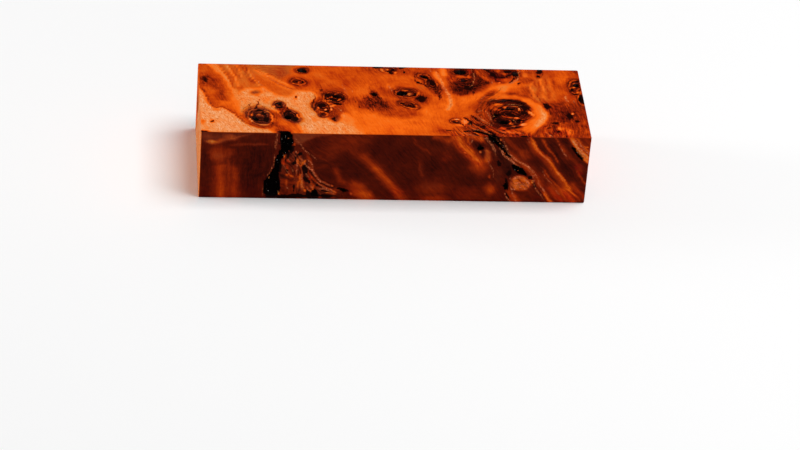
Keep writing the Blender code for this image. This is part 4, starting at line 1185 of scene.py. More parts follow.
FRONT_CORES = [
    (-35.6, 22, 1.5, 4.0, -6), (-34.4, 16.8, 0.5, 2.6, -12), (-37.2, 13.5, 0.9, 3.4, 8),
    (-38.6, 8.2, 1.4, 2.6, 0), (-39.2, 3.4, 2.2, 4.6, 0), (-37.4, 5, 1.0, 5, 0),
    (-32.9, 19.4, 0.5, 2.0, -10), (-32.2, 15.2, 0.4, 1.8, 0), (-28.7, 11.6, 1.0, 2.2, 15),
    (-28.3, 7.6, 0.7, 1.4, 10), (-34.6, 11.0, 0.5, 0.9, 0), (-32.8, 13.6, 0.5, 0.8, 0),
    (-31.0, 1.2, 3.4, 0.8, 0), (-35.0, 0.8, 2.4, 0.8, 0), (-27.6, 2.2, 0.7, 1.6, 0),
    (-27.2, 6.8, 0.4, 0.8, 0), (-25.6, 1.0, 1.8, 1.6, 0), (-30.6, 17.2, 0.5, 1.0, -30),
    (-31.9, 4.2, 0.3, 1.6, 0), (-21.4, 1.2, 2.4, 0.6, -6), (-16.4, 3.8, 2.0, 0.55, -14),
    (-24.6, 5.4, 0.7, 0.4, -30), (-22.2, 3.2, 1.6, 0.35, -25), (36.6, 6.8, 0.42, 2.6, 8),
    (39.8, 12.8, 1.6, 1.0, -15), (43.9, 9.6, 0.8, 0.8, -30), (37.2, 11.4, 0.7, 1.4, 0),
    (37.2, 2.6, 0.3, 1.2, 25), (45.7, 6.8, 0.45, 1.4, 25), (58.0, 19.6, 0.3, 1.6, 38),
    (34.6, 20.0, 0.9, 3.4, 38), (31.2, 24.2, 1.6, 1.6, 30), (26.9, 21.4, 0.5, 0.9, 10),
    (30.7, 23.0, 0.4, 1.4, 30), (33.2, 15.0, 0.6, 1.4, 10),
]
for u, v, across, tall, turn_by in FRONT_CORES:
    front.core(u, v, across, tall, turn_by)
LUMP = (41, 7.2)
LUMP_REACH = 2.2
front.spot(41.1, 7.4, 3.5, 2.9, -12, 0.50, 0.25, warm=-0.15, crust=0.6)
front.dye[front.near([LUMP], LUMP_REACH)] *= 0.1
# Bark scraps, and painted highlights: pale dots in the voids where resin catches the light.
FRONT_SCRAPS_AND_HIGHLIGHTS = [
    (-35.9, 17.2, 0.4, 0.9, 10, 0.36, 0.5), (-36.9, 17.0, 0.5, 0.7, 0, 0.50, -0.7),
    (-34.3, 23.6, 0.25, 0.5, 0, 0.10, -0.6), (-34.2, 22.6, 0.2, 0.4, 0, 0.20, -0.6),
    (-34.4, 19.8, 0.2, 1.6, 0, 0.55, -0.6), (-39.8, 6.8, 0.35, 0.7, -30, 0.14, -0.8),
    (-36.8, 2.4, 0.25, 0.5, 0, 0.20, -0.8), (-37.1, 21.4, 0.8, 0.5, 0, 0.90, 0.0),
    (-35.8, 14.2, 0.5, 1.0, 10, 0.52, 0.9), (-34.1, 14.6, 0.4, 0.8, 30, 0.60, 0.9),
    (-34.6, 12.0, 0.35, 0.6, 10, 0.52, 0.7), (-34.2, 9.4, 0.5, 0.3, 20, 0.48, 0.2),
    (-32.8, 8.9, 0.7, 0.3, -20, 0.40, 0.0), (-34.6, 6.6, 0.3, 1.4, 0, 0.56, -0.2),
    (-31.2, 14.4, 0.6, 1.4, 20, 0.46, 0.0), (-29.6, 13.8, 0.35, 1.8, -30, 0.38, 0.0),
    (-28.4, 3.2, 0.3, 0.8, 30, 0.36, 0.6), (-30.5, 6.6, 0.3, 2.4, -8, 0.50, 0.0),
    (-29.8, 9.4, 0.25, 1.6, 0, 0.46, -0.1), (-26.0, 4.6, 0.45, 1.1, 10, 0.38, 0.6),
    (-26.8, 7.6, 0.3, 0.9, 10, 0.52, 0.7), (-32.5, 21.2, 0.4, 0.6, 0, 0.52, 0.2),
    (-32.8, 22.6, 0.3, 0.4, 0, 0.5, -0.2), (-26.4, 3.2, 0.4, 0.3, 0, 0.40, -0.4),
    (-21.4, 2.4, 0.7, 0.3, -10, 0.44, 0.1), (-18.8, 2.6, 0.9, 0.4, -30, 0.50, 0.2),
    (-13.3, 2.0, 0.25, 0.8, 10, 0.36, 0.3), (-19.6, 5.2, 0.3, 0.3, 0, 0.4, 0.2),
    (33.3, 22.6, 0.3, 0.6, 20, 0.18, -0.7), (33.2, 24.0, 0.2, 0.3, 0, 0.3, -0.7),
    (35.5, 18.9, 0.3, 0.3, 0, 0.24, -0.7), (36.5, 18.4, 0.25, 0.5, 20, 0.26, -0.4),
    (40.0, 11.6, 0.35, 0.4, 0, 0.10, -0.8), (26.7, 19.3, 0.3, 0.4, 0, 0.14, -0.4),
    (44.9, 8.2, 0.25, 0.9, 25, 0.22, -0.3), (31.0, 9.8, 0.3, 0.6, 0, 0.58, 0.4),
    (22.3, 18.9, 0.4, 0.3, -30, 0.28, 0.5), (61.1, 22.1, 0.3, 0.3, 0, 0.16, 0.0),
    (26.4, 25.6, 0.6, 0.2, 0, 0.40, 0.2), (58.4, 18.8, 0.2, 0.4, 30, 0.3, 0.1),
    (57.2, 23.0, 0.5, 0.3, 0, 0.26, 0.1),
]
for u, v, across, tall, turn_by, tone, warm in FRONT_SCRAPS_AND_HIGHLIGHTS:
    front.highlight_or_pale_patch(u, v, across, tall, turn_by, tone, warm)
print(f"The front has {len(FRONT_CORES)} dark cores and {len(FRONT_SCRAPS_AND_HIGHLIGHTS)} scraps")

# %% [markdown]
# The thin lines of the front are lips of bark, folds in it and edges of growth layers. Each row
# holds a line's width and the points that it runs through.

# %% Draw the lines of the front side
FRONT_PALE = [
    (0.70, [(-38.3, 25.4), (-38.4, 22.5), (-38.5, 19)]),
    (0.50, [(-38.5, 19), (-38.6, 16), (-39, 13.3), (-39.7, 10.5), (-40.3, 9)]),
    (0.20, [(-41.9, 5.6), (-42.1, 3.6), (-41.5, 1)]),
    (0.30, [(-32.6, 24), (-31, 21.5), (-29.4, 19), (-27, 17), (-25.5, 15.3)]),
    (0.55, [(-30.2, 15.6), (-28.4, 13.2), (-26.8, 11.8), (-25.4, 9.6), (-23.6, 7.4), (-21.6, 5.8),
     (-19.4, 5)]),
    (0.35, [(-28.7, 15.5), (-26.8, 13.6), (-25.7, 11)]),
    (0.50, [(-25, 7), (-23.5, 5.5), (-21.5, 4.2), (-19.8, 3.4), (-18.4, 2.5)]),
    (0.30, [(-24.4, 3.6), (-22.5, 4.2), (-20.5, 3), (-18.5, 1.6)]),
    (0.45, [(24.2, 25.2), (24.4, 23.6), (23.4, 22)]),
    (0.50, [(28, 24.6), (29.3, 23.6), (30.6, 21.8), (31.6, 19.8), (32.5, 17.2)]),
    (0.70, [(33.0, 21.4), (34.2, 19.4), (35.4, 17.6), (37.6, 16), (39.2, 14.5), (40.6, 13)]),
    (0.70, [(33.6, 25.4), (35, 22), (36.2, 19.2), (38, 17.2), (41, 15.3), (43.4, 13.4), (45, 11.6),
     (46.4, 9.4)]),
    (0.50, [(46.4, 9.6), (47.3, 7.2), (48.6, 4.8), (50, 2.8)]),
    (0.35, [(44.6, 8.8), (45.6, 7), (46.8, 4.6), (48.5, 2), (50, 0)]),
    (0.45, [(37.6, 9.4), (37.8, 6.6), (38.6, 4), (39.8, 1.2), (40.4, 0)]),
    (0.45, [(36.0, 3.4), (37.4, 1.4), (38.8, 0)]),
    (0.55, [(56.6, 24.8), (58.4, 22), (60.2, 19.4), (61.8, 17.4)]),
    (0.35, [(55.6, 25), (57.4, 22.6)]),
    (0.40, [(52.6, 4.8), (54.4, 3)]),
    (0.30, [(41.8, 25), (42.6, 23)]),
    (0.70, [(38.6, 8.6), (39.8, 9.4), (41.2, 9.2)]),
    (0.60, [(41.8, 8.9), (42.9, 8.6), (43.6, 7.6)]),
    (0.70, [(39.6, 5.6), (40.6, 5.9), (41.8, 5.4)]),
    (0.60, [(38.8, 7.6), (40.2, 7.4), (41, 8.0)]),
    (0.60, [(41.6, 7.4), (42.6, 6.8), (43.4, 6.2)]),
    (0.50, [(38.4, 6.4), (39.4, 6.6)]),
    (0.60, [(38.6, 5.4), (39.6, 4.9)]),
    (0.60, [(38.2, 8.2), (39.0, 9.4), (40.2, 10)]),
    (0.60, [(42.6, 8.2), (43.8, 7.2), (43.9, 6)]),
    (0.60, [(40, 6.4), (41, 6.9), (42, 6.4)]),
    (0.55, [(42.2, 5.2), (43.6, 5.7)]),
    (0.45, [(40.6, 9.9), (42.2, 9.6)]),
    (0.40, [(-31.9, 16.8), (-31.3, 12.8), (-31.6, 9.4)]),
    (0.45, [(-30, 12.8), (-29.5, 9), (-29.8, 6)]),
    (0.50, [(-29.7, 6.8), (-29.2, 4.2)]),
    (0.30, [(-35.9, 13.4), (-35, 11.4), (-33.8, 9.6)]),
    (0.35, [(-32.2, 18.4), (-31.2, 17.2)]),
    (0.40, [(-13.4, 3), (-13.2, 1.4)]),
    (0.40, [(-34.3, 15.8), (-33.7, 14.2)]),
    (0.35, [(-33.3, 11.8), (-32.6, 10.2)]),
    (0.40, [(-28.2, 10), (-27, 8.2)]),
    (0.45, [(-27.0, 5.8), (-25.9, 4.2)]),
    (0.45, [(-27.8, 4.2), (-26.8, 3)]),
    (0.35, [(-34.6, 5), (-33.4, 3.6)]),
    (0.35, [(29.8, 16.4), (31.2, 13.2), (32.4, 9.6)]),
    (0.30, [(47.6, 12.6), (49.4, 9.8), (51.2, 7.4)]),
    (0.35, [(44.4, 22.4), (46.2, 20), (48.2, 17.6), (50.2, 15.2)]),
    (0.30, [(52.4, 12.4), (54, 10), (55.4, 8.4)]),
    (0.30, [(51.6, 23.4), (53.6, 20.2), (55.2, 17.8)]),
    (0.60, [(58, 24.4), (60, 21.6), (62.2, 19)]),
    (0.50, [(57.4, 23.4), (59.6, 20.4), (61.8, 17.6)]),
    (0.30, [(31.2, 25.2), (33.4, 22.4), (35.6, 19.6)]),
    (0.30, [(28.6, 25.2), (30.6, 22.6), (32.2, 19.8)]),
    (0.30, [(43.2, 12.6), (44.8, 10.4), (45.8, 8)]),
]
front.lines("pale", FRONT_PALE)
FRONT_DARK = [
    (0.25, [(39.0, 8.4), (40.4, 8.7), (41.6, 8.2)]),
    (0.30, [(39.0, 6.8), (40.4, 6.6), (41.4, 7.0)]),
    (0.30, [(41.8, 6.4), (43, 5.6)]),
    (0.45, [(37.4, 8.8), (38.6, 10.2), (41, 10.7), (43.6, 10), (45, 8)]),
    (0.30, [(38, 5.6), (39.2, 4.6), (41.4, 4.3)]),
    (0.50, [(-34.8, 18), (-33.4, 14), (-32.9, 10.4), (-33.2, 7)]),
    (0.50, [(-32.4, 18.6), (-30.9, 15), (-30.6, 11), (-31, 7)]),
    (0.50, [(-30.2, 15), (-28.9, 11), (-28.6, 7), (-29.4, 4)]),
    (0.60, [(-27.8, 14.4), (-26, 9.6), (-23.4, 6.6), (-20.4, 4.2)]),
    (0.50, [(-27.4, 9), (-24.8, 5.8), (-21.6, 3.8), (-17.8, 2)]),
    (0.45, [(-26.4, 4.4), (-23.6, 3), (-20, 1.4)]),
    (0.60, [(37.8, 16.6), (39.6, 15.2), (41.4, 14.2)]),
    (0.40, [(-39.4, 12), (-40.2, 10), (-41.4, 7.6)]),
    (0.50, [(-24.8, 9.8), (-23, 7.8), (-21, 6.4), (-18, 5.4)]),
    (0.50, [(-25.6, 8), (-24, 6.2), (-22, 4.8)]),
    (0.50, [(-30.4, 18), (-28.6, 15.2), (-26.8, 13)]),
    (0.45, [(24.6, 22.4), (24.9, 20.4), (26, 18.4)]),
    (0.40, [(44.2, 24.6), (46.2, 21.6), (49.4, 17.8)]),
    (0.40, [(56.4, 22.4), (58.4, 19.6), (60.4, 16.8)]),
    (0.40, [(46.2, 7.2), (47.6, 4.4), (49.4, 1.6)]),
]
front.lines("dark", FRONT_DARK)
print(f"The front has {len(FRONT_PALE)} pale and {len(FRONT_DARK)} dark lines")

# %% [markdown]
# ## The hidden sides
#
# A block has six faces, and someone will turn it over. The bottom is sawn like the top, the
# back like the front, and the two ends show the growth layers end on. Their buds lie at the
# pits of the solid, and the layers that lean through the front come out of them too.

# %% Draw the bottom
bottom = Figure("bottom", tone=0.50, seed=11)
bottom.area(0.20, 0.8, [(-63, 21), (-63, 4), (-56, -2), (-47, 3), (-40, 14), (-42, 21)], warm=0.1)
bottom.area(0.22, 0.8, [(-30, -21), (-27, -13), (-17, -12), (-8, -16), (-6, -21)], warm=0.1)
bottom.area(0.72, 2.0, [(24, -21), (26, -12), (38, -1), (52, -2), (63, -8), (63, -21)], warm=0.2)
bottom.area(0.36, 1.6, [(50, 21), (47, 12), (52, 4), (63, 6), (63, 21)], warm=-0.1)
bottom.spot(2, 2, 13, 6, 15, 0.42, 0.6)
bottom.spot(-20, 12, 8, 5, -20, 0.57, 0.7, warm=0.2)
bottom.stroke(0.38, 3.0, 1.2, [(22, 20), (26, 10), (36, 4), (44, 8), (48, 18)])
bottom.stroke(0.62, 2.4, 1.2, [(-62, -4), (-54, -8), (-46, -6), (-38, -12), (-30, -20)], warm=0.2)
BOTTOM_BUDS = [
    (-38.0, 6.0, 3.2, 2.8, 20, 0.88), (-33.5, 1.5, 1.6, 2.2, 10, 0.80),
    (-12.0, -9.0, 2.6, 2.2, -30, 0.84), (18.0, 8.0, 4.0, 3.0, 15, 0.88), (13.5, 3.0, 1.5, 1.8, 0, 0.78),
    (46.0, -7.0, 3.6, 2.8, -20, 0.9), (32.0, -7.0, 4.8, 2.4, 25, 0.86), (-55.0, 12.0, 1.8, 1.5, 0, 0.7),
    (57.0, 13.0, 2.2, 1.8, 10, 0.8), (1.0, -15.0, 1.6, 1.3, 0, 0.76),
]
for u, v, across, tall, turn_by, tone in BOTTOM_BUDS:
    bottom.eye(u, v, across, tall, turn_by, tone, 0.4)
    bottom.core(u - 0.3, v, across * 0.4, tall * 0.4, turn_by)
BOTTOM_LAYERS = 7
BOTTOM_GAP = 16
for i in range(BOTTOM_LAYERS):
    start = -50 + i * BOTTOM_GAP
    bottom.line("pale", 0.5, [(start, 17 - i), (start + 4, 11), (start + 5, 4), (start + 9, -3)])
    bottom.line("dark", 0.35, [(start + 7, 3), (start + 8, -4), (start + 12, -11 - i % 3)])
print(f"The bottom has {len(BOTTOM_BUDS)} buds")

# %% [markdown]
# The back is as deep as the front and has its glowing bands too: lighter layers with their
# chatoyant sheen painted in. Each row of the bands holds where a band starts along the block,
# its width, how far it leans and its tone.

# %% Draw the back side
rear = Figure("back", tone=0.79, seed=13, wander=0.4)
rear.area(0.58, 0.8, [(-63, 26), (-63, 20), (-50, 22), (-38, 20.5), (-30, 26)], warm=-0.5)
rear.area(0.72, 2.2, [(20, 14), (28, 22), (34, 22), (33, 12), (27, 8)], warm=0.0, crust=0.9)
rear.area(0.72, 1.8, [(-16, 9), (-10, 8), (-4, 3), (-3, -1), (-15, -1)], warm=0.0, crust=0.9)
# The bands' glow is partly painted sheen.
REAR_BANDS = [
    (-54, 3.0, 0.0, 0.60), (-43, 1.4, 0.2, 0.66), (-33, 2.6, 0.4, 0.60), (-21, 1.2, 0.5, 0.66),
    (-3, 2.6, 0.65, 0.57), (3, 0.8, 0.7, 0.52), (24, 1.6, 0.7, 0.63), (37, 2.4, 0.75, 0.58),
    (43, 0.7, 0.7, 0.50), (55, 1.6, 0.7, 0.60),
]
for start, width, lean, level in REAR_BANDS:
    foot = start + lean * HEIGHT
    middle_u = start + 0.42 * lean * HEIGHT + 1.2 * math.sin(start)
    rear.stroke(level, width, 1.8, [(start, 27), (middle_u, 14), (foot + math.cos(start), -2)], warm=0.1)
REAR_BUDS = [
    (44, 17, 2.4, 1.9, 20), (12, 9, 3.0, 1.8, -30), (-24, 18, 2.0, 1.6, 10), (-47, 7.5, 2.2, 1.8, -15),
]
for u, v, across, tall, turn_by in REAR_BUDS:
    rear.eye(u, v, across * 1.3, tall * 1.3, turn_by, 0.64, 0.6)
    rear.core(u, v, across * 0.6, tall * 0.5, turn_by)
    rear.smoke(0.7, 0.8, 0.5, [(u, v), (u + 2.4, v - 3), (u + 3.6, v - 6)])
rear.spot(29.6, 18, 1.8, 4.5, -15, 0.90, 0.5)
rear.spot(-9, 2, 2.4, 3.5, 15, 0.95, 0.5)
rear.line("pale", 0.6, [(33.6, 24), (33, 19), (31, 14), (28.4, 9)])
rear.line("pale", 0.5, [(-5.4, 0), (-6.6, 4), (-9, 7.6), (-13, 10.4)])
print(f"The back has {len(REAR_BANDS)} glowing bands")

# %% [markdown]
# The ends cut the growth layers across, so they show as arcs one over the other. The left end
# is pale, as the wood beside it is, and paler still as painted sheen where light glances off
# it. The right one is dark, as the wood beside it is, and each has a bud or two.

# %% Draw the two ends
LAYERS = 7
LAYER_GAP = 3.9
# The left end's pale tones are partly painted sheen, light glancing off the end.
left_end = Figure("left", tone=0.15, seed=17)
right_end = Figure("right", tone=0.58, seed=19)
for end, first_tone in ((left_end, 0.12), (right_end, 0.46)):
    for i in range(LAYERS):
        drop = i * LAYER_GAP
        arc = [(-20.5, 3 + drop), (-9, 6.5 + drop), (2, 5 + drop), (12, 1 + drop), (20.5, -4 + drop)]
        end.stroke(first_tone + 0.07 * (i % 3), 1.3, 1.0, arc)
        end.line("dark", 0.25, [(u, v - 1.5) for u, v in arc])
left_end.area(0.42, 3.0, [(4, 27), (8, 14), (14, 6), (21, 2), (21, 27)], warm=-0.1)
left_end.eye(9, 17, 2.4, 1.9, 30, 0.6, 0.6)
left_end.core(8.8, 17, 0.9, 0.6, 30)
right_end.eye(9.5, 17.5, 3.0, 2.4, 60, 0.64, 0.6)
right_end.core(9.3, 17.5, 1.2, 0.8, 60)
right_end.eye(-9, 9, 2.2, 3.4, 15, 0.62, 0.7)
right_end.core(-9.2, 9, 0.8, 1.6, 15)
right_end.spot(2.4, 24, 2.6, 2.4, 0, 0.95, 0.5)
right_end.area(0.70, 2.5, [(-21, -1), (-21, 12), (-14, 8), (-6, 2), (-4, -1)], warm=0.3)
print("The ends show their growth layers")

# %% [markdown]
# ## Fibres that bend round the buds
#
# Two numbers say where a point lies in the grain: how far across the fibres and how far along
# them. Fibres part round a bud like water round a stone, so the number across is bent the way
# a stream's is: unchanged far away, and the same all along the bud's rim. Inside the rim the
# number follows the radius instead, and the fibres close into rings.
#
# The growth layers lean on their way down, so a point on a side belongs to a layer that left the
# top beside it. In a few eddies the grain runs another way, so many degrees from the length.

# %% Lay the grain over all faces
HALVINGS = 18
UPRIGHT_TO = -40
LEAN_MOST_AT = -31
LEAN_LESS_AT = 20


def side_lean(start):
    """How far a growth layer leans along the block for each millimetre that it goes down."""
    rise = smooth_step(UPRIGHT_TO, LEAN_MOST_AT, start)
    return rise - 0.25 * smooth_step(LEAN_MOST_AT, LEAN_LESS_AT, start)


def layer_start(along, depth):
    """Find by halving where a point's growth layer left the top."""
    near_end = along - 1.1 * depth
    far_end = along.copy()
    for _ in range(HALVINGS):
        guess = (near_end + far_end) / 2
        too_far = guess + side_lean(guess) * depth > along
        far_end = np.where(too_far, guess, far_end)
        near_end = np.where(too_far, near_end, guess)
    return (near_end + far_end) / 2


slant = 0.36 - 0.26 * smooth_step(-20, 45, x)
on_side = is_on("front", "back")
on_end = is_on("left", "right")
under = is_on("bottom")
across_grain = layer_start(x, HEIGHT - z) + slant * y
across_grain[under] = (x + slant * y)[under]
across_grain[on_end] = (z * 0.9 + 0.15 * y + 0.02 * y * y)[on_end]
along_grain = np.where(on_side, np.sign(y) * (WIDTH / 2 + HEIGHT - z), y)
swirl = 1.1 * grain_noise(place, 9.0, 2, 23)
shiver = 0.3 * grain_noise(place, 2.5, 2, 24)
across_grain = across_grain + swirl + shiver

EDDIES = [
    (top, -39, 17, 9, 0), (front, -30, 13, 9, -58), (front, -25, 5, 8, -38), (top, 27, -15, 11, -46),
    (top, 13, 10, 7, -60), (top, -8, 1, 7, -55), (top, 30, 6, 7, 38), (top, 50, -17, 7, -35),
]
for figure, u0, v0, reach, heading in EDDIES:
    figure.eddies.append((u0, v0, reach, heading))
figures = [top, front, bottom, rear, left_end, right_end]
for figure in figures:
    across = across_grain[figure.points]
    along = along_grain[figure.points]
    for u0, v0, reach, heading in figure.eddies:
        du, dv = figure.u - u0, figure.v - v0
        step_along, step_across = turned(du, dv, heading)
        share = smooth_step(reach, 0.25 * reach, np.hypot(du, dv))
        middle_at = np.argmin(np.hypot(du, dv))
        across = across + (across[middle_at] + step_across - across) * share
        along = along + (along[middle_at] + step_along - along) * share
    for u0, v0, wide, tall, turn_by in figure.bends:
        du, dv = figure.u - u0, figure.v - v0
        first, second = turned(du, dv, turn_by)
        r = np.hypot(first / wide, second / tall)
        middle_at = np.argmin(r)
        bent = across - (across - across[middle_at]) / np.maximum(r, 1) ** 2
        across = np.where(r < 1, across[middle_at] + (1 - r) * math.sqrt(wide * tall), bent)
        around = np.arctan2(dv, du) * r * math.sqrt(wide * tall)
        along = np.where(r < 1, along[middle_at] + around, along)
    across_grain[figure.points] = across
    along_grain[figure.points] = along
print(f"The fibres bend round {sum(len(f.bends) for f in figures)} buds")

# %% [markdown]
# ## Handing the sketch to the mesh
#
# The sketch's numbers become attributes of the mesh, which a material can read. The points are
# moved into the pits at the same time, so the colours keep their place. Low relief goes in
# where the bark is crumpled: it only ever sinks below the sanded face.

# %% Store the sketch and move the points
END_DEPTH = 0.35
CRUMPLED_FROM = 0.1
OPEN_FACE = 0.05
CRUMPLE_GRAIN = 0.8
CRUMPLE_DEPTH = 0.3
SMOOTH_ANGLE = math.radians(24)

fields = {"across_grain": across_grain, "along_grain": along_grain, "sink": sunk}
for name in ("tone", "warm", "crust", "dye", "ring", "pale", "dark"):
    fields[name] = np.zeros(count)
    for figure in figures:
        fields[name][figure.points] = getattr(figure, name)
fields["deep"] = np.where(on_side, 1.0, np.where(on_end, END_DEPTH, 0.0))

bark = np.flatnonzero((fields["crust"] > CRUMPLED_FROM) & (sunk < OPEN_FACE))
crumple = np.zeros(count)
ridges = np.clip(grain_noise(place[bark], CRUMPLE_GRAIN, 3, 31), 0, 1)
crumple[bark] = ridges * CRUMPLE_DEPTH * fields["crust"][bark]
place_sunk = place_sunk + inward * crumple[:, None]

block.data.vertices.foreach_set("co", (place_sunk * MM).ravel())
for name, values in fields.items():
    stored = block.data.attributes.new(name, "FLOAT", "POINT")
    stored.data.foreach_set("value", values.astype(np.float32))
block.data.update()
bpy.ops.object.select_all(action="DESELECT")
block.select_set(True)
bpy.context.view_layer.objects.active = block
bpy.ops.object.shade_smooth_by_angle(angle=SMOOTH_ANGLE)
triangles = sum(len(p.vertices) - 2 for p in block.data.polygons)
print(f"{len(fields)} attributes are stored, and the block has {triangles} triangles")

# %% [markdown]
# ## Shader maths as Python expressions
#
# A material is a graph of nodes, and sums in it need many of them. This small class wraps a
# node's output so that +, - and * add the Math nodes by themselves. Every other node comes from
# one method, which takes the node's type, its settings and the values of its sockets.


# %% Make the shader helper
class Wire:
    """A node's output that can be used in sums."""

    def __init__(self, shader, socket):
        self.shader = shader
        self.socket = socket

    def sum(self, operation, first, second):
        return self.shader.node("ShaderNodeMath", {"operation": operation}, {0: first, 1: second})

    def __add__(self, other):
        return self.sum("ADD", self, other)

    def __radd__(self, other):
        return self.sum("ADD", other, self)

    def __sub__(self, other):
        return self.sum("SUBTRACT", self, other)

    def __rsub__(self, other):
        return self.sum("SUBTRACT", other, self)

    def __mul__(self, other):
        return self.sum("MULTIPLY", self, other)

    def __rmul__(self, other):
        return self.sum("MULTIPLY", other, self)


class Shader:
    """A material whose nodes are made one call at a time."""

    def __init__(self, name):
        self.material = bpy.data.materials.new(name)
        self.material.use_nodes = True
        self.tree = self.material.node_tree
        self.principled = self.tree.nodes["Principled BSDF"]

    def node(self, kind, settings=None, sockets=None, out=0):
        made = self.tree.nodes.new(kind)
        for name, value in (settings or {}).items():
            if name == "stops":
                self.set_stops(made.color_ramp, value)
            else:
                setattr(made, name, value)
        for key, value in (sockets or {}).items():
            self.feed(made.inputs[key], value)
        return Wire(self, made.outputs[out])

    def feed(self, socket, value):
        if isinstance(value, Wire):
            self.tree.links.new(value.socket, socket)
        else:
            socket.default_value = value

    def set_stops(self, ramp, stops):
        while len(ramp.elements) < len(stops):
            ramp.elements.new(0.5)
        for element, (place_at, colour) in zip(ramp.elements, stops):
            element.position = place_at
            element.color = colour

    def attribute(self, name):
        return self.node("ShaderNodeAttribute", {"attribute_name": name}, out="Fac")

    def vector(self, across, along):
        return self.node("ShaderNodeCombineXYZ", None, {"X": across, "Y": along})

    def noise(self, vector, scale, detail, rough):
        settings = {"noise_dimensions": "3D"}
        sockets = {"Vector": vector, "Scale": scale, "Detail": detail, "Roughness": rough}
        return self.node("ShaderNodeTexNoise", settings, sockets)

    def ripple(self, vector, scale, detail, rough):
        """A noise about its middle value, which adds as much as it takes away."""
        return self.noise(vector, scale, detail, rough) - 0.5

    def step(self, value, start, end):
        """0 below start, 1 above end, and smooth between."""
        settings = {"interpolation_type": "SMOOTHSTEP"}
        sockets = {"Value": value, "From Min": start, "From Max": end}
        return self.node("ShaderNodeMapRange", settings, sockets)

    def sine(self, value):
        return self.node("ShaderNodeMath", {"operation": "SINE"}, {0: value})

    def mix(self, factor, first, second):
        """One colour turned into another. A Mix node's colours are its inputs 6 and 7."""
        settings = {"data_type": "RGBA"}
        return self.node("ShaderNodeMix", settings, {0: factor, 6: first, 7: second}, out=2)


def from_srgb(red, green, blue):
    """A colour as read from a screen, turned into the linear light that a shader uses."""
    parts = [c / 255 for c in (red, green, blue)]
    return tuple(p / 12.92 if p <= 0.04045 else ((p + 0.055) / 1.055) ** 2.4 for p in parts) + (1.0,)


print("Wires can be added and multiplied")

# %% [markdown]
# ## The burl's material
#
# The tone from the sketch is stirred with fibres, rings and pores, and one ramp turns it into
# colour, from peach through orange and maroon to black. Two more ramps of the same shape, one
# redder and one browner, are mixed in by the warm number.

# %% Read the sketch and make the grain
burl = Shader("dyed burl")
tone = burl.attribute("tone")
warm = burl.attribute("warm")
crust = burl.attribute("crust")
dye = burl.attribute("dye")
ring = burl.attribute("ring")
sink_depth = burl.attribute("sink")
deep = burl.attribute("deep")
across_fibre = burl.attribute("across_grain")
along_fibre = burl.attribute("along_grain")
spot_at = burl.node("ShaderNodeTexCoord", out="Object")
spot_mm = burl.node("ShaderNodeVectorMath", {"operation": "SCALE"}, {0: spot_at, "Scale": 1 / MM})

fibre = burl.ripple(burl.vector(across_fibre * 1.3, along_fibre * 0.2), 1.0, 3.0, 0.6)
fine_fibre = burl.ripple(burl.vector(across_fibre * 3.6, along_fibre * 0.7), 1.0, 2.0, 0.6)
cloud = burl.ripple(spot_mm, 0.16, 3.0, 0.55)
grit = burl.ripple(spot_mm, 2.4, 3.0, 0.65)
curl = burl.ripple(burl.vector(across_fibre * 0.45, along_fibre * 0.8), 1.0, 2.0, 0.5)
fold = burl.ripple(burl.vector(across_fibre * 1.5, along_fibre * 0.26), 1.0, 3.0, 0.6)
print("The grain reads", len(burl.tree.nodes), "nodes so far")

# %% [markdown]
# Not all wood is equally lively. Pale wood is full of pores, bright orange wood is smooth, and
# dark wood is streaky, so the strength of the fibres follows the tone. Crumpled bark gets veins:
# a thin line wherever a noise crosses its middle value, like the outlines on a map. The pairs of
# numbers below say where an effect starts and where it is full.

# %% Stir the tone
PALE_WOOD = (0.36, 0.20)
DARK_WOOD = (0.50, 0.66)
EVEN_SIDE = (0.60, 0.46)
PORE_LEVELS = (0.48, 0.68)
BY_A_RING = (0.9, -0.2)
VEIN_WIDTH = (0.045, 0.010)
FRAY = (0.30, 0.78)
RING_GAP = 1.3
BLACK = 0.96
RING_LIGHT = 0.30

pale_wood = burl.step(tone, *PALE_WOOD)
dark_wood = burl.step(tone, *DARK_WOOD)
lively = (0.24 + pale_wood * 0.26 + dark_wood * 0.44) * (1.0 - deep * 0.66)
lively = lively + deep * burl.step(tone, *EVEN_SIDE) * 0.45
pore_noise = burl.noise(burl.vector(across_fibre * 2.3, along_fibre), 1.0, 3.0, 0.65)
pores = burl.step(pore_noise, *PORE_LEVELS)
near_ring = burl.step(ring, *BY_A_RING)
ring_wave = burl.sine((ring + grit + fibre * 1.6) * (2 * math.pi / RING_GAP))
fold_gap = burl.node("ShaderNodeMath", {"operation": "ABSOLUTE"}, {0: fold})
vein = burl.step(fold_gap, *VEIN_WIDTH) * burl.step(grit, -0.10, 0.06)

stirred = tone + lively * (fibre * 0.75 + fine_fibre * 0.5 + curl * 0.35) + cloud * (0.24 - deep * 0.08)
stirred = stirred + pale_wood * (pores * 0.14 - 0.02)
stirred = stirred + near_ring * ring_wave * 0.14
stirred = stirred + crust * (grit * 0.4 + fold * 1.5 - vein * 0.12)
frayed = burl.step(dye + fibre * 0.8 + fine_fibre * 0.5 + grit * 0.35, *FRAY)
ring_glow = burl.step(ring_wave, 0.4, 0.95) * burl.step(fibre + grit * 0.6, -0.12, 0.08)
ring_glow = ring_glow * burl.step(dye, 0.95, 0.80)
ring_glow = ring_glow * burl.step(ring, -2.2, -1.2)
black_at = BLACK - ring_glow * RING_LIGHT
stirred = stirred + (black_at - stirred) * frayed
print("The tone is stirred with", len(burl.tree.nodes), "nodes")

# %% [markdown]
# Each ramp is ten colours at the same ten tones, from the wood's palest to its blackest parts.
# How much of the red or the brown ramp is mixed in follows the warm number and a noise, so no
# border shows between them.

